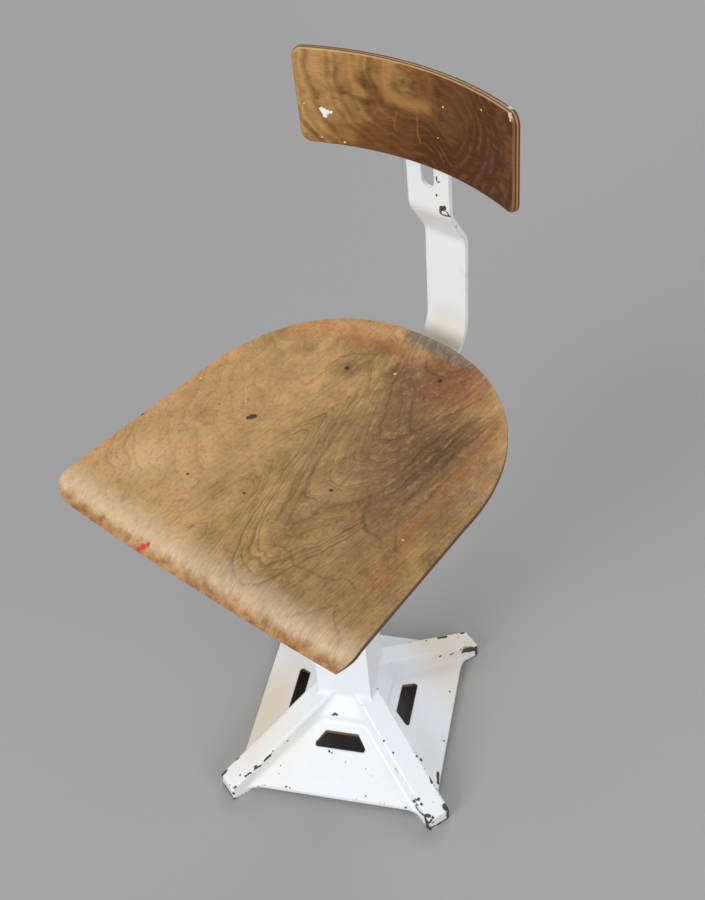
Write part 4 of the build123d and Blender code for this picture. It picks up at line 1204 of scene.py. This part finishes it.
def turned(profile, columns=40):
    """Closed turned shape from pairs of radius and height, from its foot to its top."""
    turns = [2 * pi * column / columns for column in range(columns)]
    points = [(radius * cos(t), radius * sin(t), height) for radius, height in profile for t in turns]
    return closed_tube(points, columns)


def threaded_rod(start, end, columns=32):
    """Rod with a screw thread and cut-down ends."""
    points = []
    for height in np.linspace(start, end, int(6 * (end - start) / THREAD_PITCH)):
        cut = max(0.0, 1 - min(height - start, end - height) / THREAD_PITCH)
        for column in range(columns):
            ridge = abs((height / THREAD_PITCH - column / columns) % 1 - 0.5) * 2
            reach = THREAD_RADIUS - THREAD_DEPTH * THREAD_PITCH * max(ridge, cut)
            turn = 2 * pi * column / columns
            points.append((reach * cos(turn), reach * sin(turn), height))
    return closed_tube(points, columns)


print("depth of the thread, mm:", round(THREAD_DEPTH * THREAD_PITCH / MM, 2))

# %% [markdown]
# ## A set of fasteners
# The screws of a set stay together, so each set is one mesh in place of its plain solids. A matrix
# stands each shape on its foot along its axis. Faces are smooth, and edges over an angle stay sharp.

# %% Fasteners as pieces
SHARP_ANGLE = radians(38)


def stand(foot, axis, spin=0.0):
    """Matrix that stands a shape at a place, along an axis, turned round it."""
    upright_turn = axis.to_track_quat("Z", "Y").to_matrix().to_4x4()
    return Matrix.Translation(foot) @ upright_turn @ Matrix.Rotation(spin, 4, "Z")


def fastener(name, node, body, shapes):
    """One steel piece made of shapes with their matrices, in place of a plain solid."""
    points, faces = [], []
    for (corners, sides), matrix in shapes:
        faces += [tuple(len(points) + corner for corner in side) for side in sides]
        points += [matrix @ Vector(corner) for corner in corners]
    mesh = bpy.data.meshes.new(name)
    mesh.from_pydata(points, [], faces)
    mesh.polygons.foreach_set("use_smooth", [True] * len(mesh.polygons))
    mesh.set_sharp_from_angle(angle=SHARP_ANGLE)
    mesh.materials.append(steel)
    piece = bpy.data.objects.new(name, mesh)
    bpy.context.scene.collection.objects.link(piece)
    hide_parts(node)
    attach(piece, body)


print("edges kept sharp over, degrees:", round(SHARP_ANGLE * 180 / pi))

# %% [markdown]
# ## Screws
# Eight screws hold the seat from below, four hold the strap and four hold the backrest's bracket. A driven
# screw stops at any angle, so each slot is turned on from the last one.

# %% Screws in their places
UP, DOWN = Vector((0, 0, 1)), Vector((0, 0, -1))
BRACKET_SCREWS = [(-36, -20), (-36, 20), (36, -20), (36, 20)]
SEAT_SCREWS = [(x, y, 436) for x in (-105, 105) for y in (-109, -91, 61, 79)]
KEEPER_SCREWS = [(x, y, 464.3) for x in (-29.8, 29.8) for y in (125, 143)]
wood_screw = slotted_head(4.6 * MM, 2.6 * MM), turned([(2.2 * MM, -12 * MM), (2.2 * MM, 0)])
strap_screw = slotted_head(4.5 * MM, 2.4 * MM), turned([(2.5 * MM, -11 * MM), (2.5 * MM, 0)])


def screws(name, node, body, screw, feet, axis, first_turn, next_turn):
    """A set of like screws as one piece, each a head and a shank, with its slot turned on from the last."""
    matrices = [stand(foot, axis, first_turn + next_turn * i) for i, foot in enumerate(feet)]
    fastener(name, node, body, [(shape, matrix) for matrix in matrices for shape in screw])


bracket_feet = [back_origin + Vector((x * MM, 0, 0)) + back_up * z * MM for x, z in BRACKET_SCREWS]
seat_feet = [Vector(foot) * MM for foot in SEAT_SCREWS]
keeper_feet = [Vector(foot) * MM for foot in KEEPER_SCREWS]
screws("bracket_wood_screws", "back_bracket_screws", "backrest", wood_screw, bracket_feet, back_out, 0.4, 0.9)
screws("seat_wood_screws", "seat_screws", "seat", wood_screw, seat_feet, DOWN, 0.0, 0.7)
screws("keeper_strap_screws", "keeper_screws", "seat", strap_screw, keeper_feet, UP, 0.0, 1.1)
print("slotted screws:", len(BRACKET_SCREWS) + len(SEAT_SCREWS) + len(KEEPER_SCREWS))

# %% [markdown]
# ## Stud and clamp screw
# The back stud carries the wing nut and the clamp screw presses a pad on the pillar. Their axes are
# joints of the frame, so they are read there, and each thread lies true on the axis that it serves.

# %% Threaded stud and clamp screw
STUD_HEAD = [(12 * MM, -3.6 * MM), (12 * MM, -1.8 * MM)]
STUD_THREAD = -1.8 * MM, 28 * MM
CLAMP_HEAD = [(8.6 * MM, 48 * MM), (10 * MM, 49.4 * MM), (10 * MM, 66.6 * MM), (8.6 * MM, 68 * MM)]
CLAMP_THREAD = 21.4 * MM, 48 * MM


def threaded_piece(name, node, body, joint, head, thread):
    """A turned head and a threaded rod as one piece, along the axis of a joint."""
    matrix = stand(Vector(joint["pos_m"]), Vector(joint["axis"]))
    fastener(name, node, body, [(turned(head), matrix), (threaded_rod(*thread), matrix)])


threaded_piece("threaded_back_stud", "back_stud", "backrest", joints["back_nut_turn"],
               STUD_HEAD, STUD_THREAD)
threaded_piece("threaded_clamp_screw", "clamp_screw", "height_clamp", joints["height_clamp_turn"],
               CLAMP_HEAD, CLAMP_THREAD)
print("thread pitch, mm:", THREAD_PITCH / MM)

# %% [markdown]
# ## Studio
# A pale grey floor keeps the chair's shadow. Away from the chair it fades into the grey that the world
# shows to the camera and in reflections, so no horizon is seen. A curved backdrop would do that from the
# front only, and this floor does it from every side.

# %% Floor
FLOOR_GREY, BACKDROP_GREY = 0.385, 0.375
FLOOR_REACH, FLOOR_FADE = 7.0, (1.0, 3.6)


def grey(level):
    return level, level, level, 1.0


def seen_ray(tree):
    """1 for a ray that shows the studio: straight to the camera, in a reflection or through glass."""
    path = tree.nodes.new("ShaderNodeLightPath")
    ray = path.outputs["Is Camera Ray"]
    for kind in ("Is Glossy Ray", "Is Transmission Ray"):
        either = tree.nodes.new("ShaderNodeMath")
        either.operation = "MAXIMUM"
        tree.links.new(ray, either.inputs[0])
        tree.links.new(path.outputs[kind], either.inputs[1])
        ray = either.outputs[0]
    return ray


def add_floor():
    """Floor that turns into the backdrop away from the chair."""
    mesh = bpy.data.meshes.new("studio_floor")
    corners = [(x * FLOOR_REACH, y * FLOOR_REACH, 0) for x, y in ((-1, -1), (1, -1), (1, 1), (-1, 1))]
    mesh.from_pydata(corners, [], [(0, 1, 2, 3)])
    floor = bpy.data.objects.new("studio_floor", mesh)
    bpy.context.scene.collection.objects.link(floor)
    finish = Finish("studio_floor", Base_Color=grey(FLOOR_GREY), Roughness=0.9, Specular_IOR_Level=0.1)
    away = finish.vector("LENGTH", finish.place(), out=1)
    fade = finish.times(finish.step(away, *FLOOR_FADE), seen_ray(finish.tree))
    backdrop = finish.put("ShaderNodeEmission", {"Color": grey(BACKDROP_GREY)})
    surface = finish.put("ShaderNodeMixShader", {0: fade, 1: finish.shader.outputs[0], 2: backdrop})
    finish.feed(finish.tree.nodes["Material Output"].inputs["Surface"], surface)
    mesh.materials.append(finish.material)


add_floor()
print("floor fades between, m:", *FLOOR_FADE)

# %% [markdown]
# ## Light
# A wide lamp in front of the chair and above it makes the light band on the seat's roll, together with a
# highlight painted on the roll's crest, and weak lamps fill the shadow sides. A picture of a studio could
# light the chair too, but a few lamps are easier to move and to weigh against each other.

# %% World and lamps
WORLD_LIGHT = 0.48
LAMPS = [
    ("front lamp", (-0.2, -4.5, 2.5), (0, 0, 0.45), 2.8, 147),
    ("right fill", (3.0, -0.2, 1.8), (0, 0, 0.4), 2.0, 31),
    ("rear fill", (-1.2, 2.8, 2.8), (0, 0.1, 0.5), 2.0, 36),
]


def add_lamp(name, place, aim, size, power):
    """Round soft lamp at a place, turned to its aim."""
    lamp = bpy.data.lights.new(name, "AREA")
    lamp.shape, lamp.size, lamp.energy = "DISK", size, power
    holder = bpy.data.objects.new(name, lamp)
    holder.location = place
    holder.rotation_euler = (Vector(aim) - Vector(place)).to_track_quat("-Z", "Y").to_euler()
    bpy.context.scene.collection.objects.link(holder)


def set_world(light, seen):
    """World that lights with one grey and shows another."""
    world = bpy.data.worlds.new("studio")
    bpy.context.scene.world = world
    world.use_nodes = True
    tree = world.node_tree
    tree.nodes.clear()
    output = tree.nodes.new("ShaderNodeOutputWorld")
    shaders = []
    for level in (light, seen):
        shader = tree.nodes.new("ShaderNodeBackground")
        shader.inputs["Color"].default_value = grey(level)
        shaders.append(shader)
    choice = tree.nodes.new("ShaderNodeMixShader")
    tree.links.new(seen_ray(tree), choice.inputs[0])
    tree.links.new(shaders[0].outputs[0], choice.inputs[1])
    tree.links.new(shaders[1].outputs[0], choice.inputs[2])
    tree.links.new(choice.outputs[0], output.inputs["Surface"])


set_world(light=WORLD_LIGHT, seen=BACKDROP_GREY)
for lamp in LAMPS:
    add_lamp(*lamp)
print("lamps:", len(LAMPS))

# %% [markdown]
# ## End
# The Standard view shows each colour as it is written.

bpy.context.scene.view_settings.view_transform = "Standard"
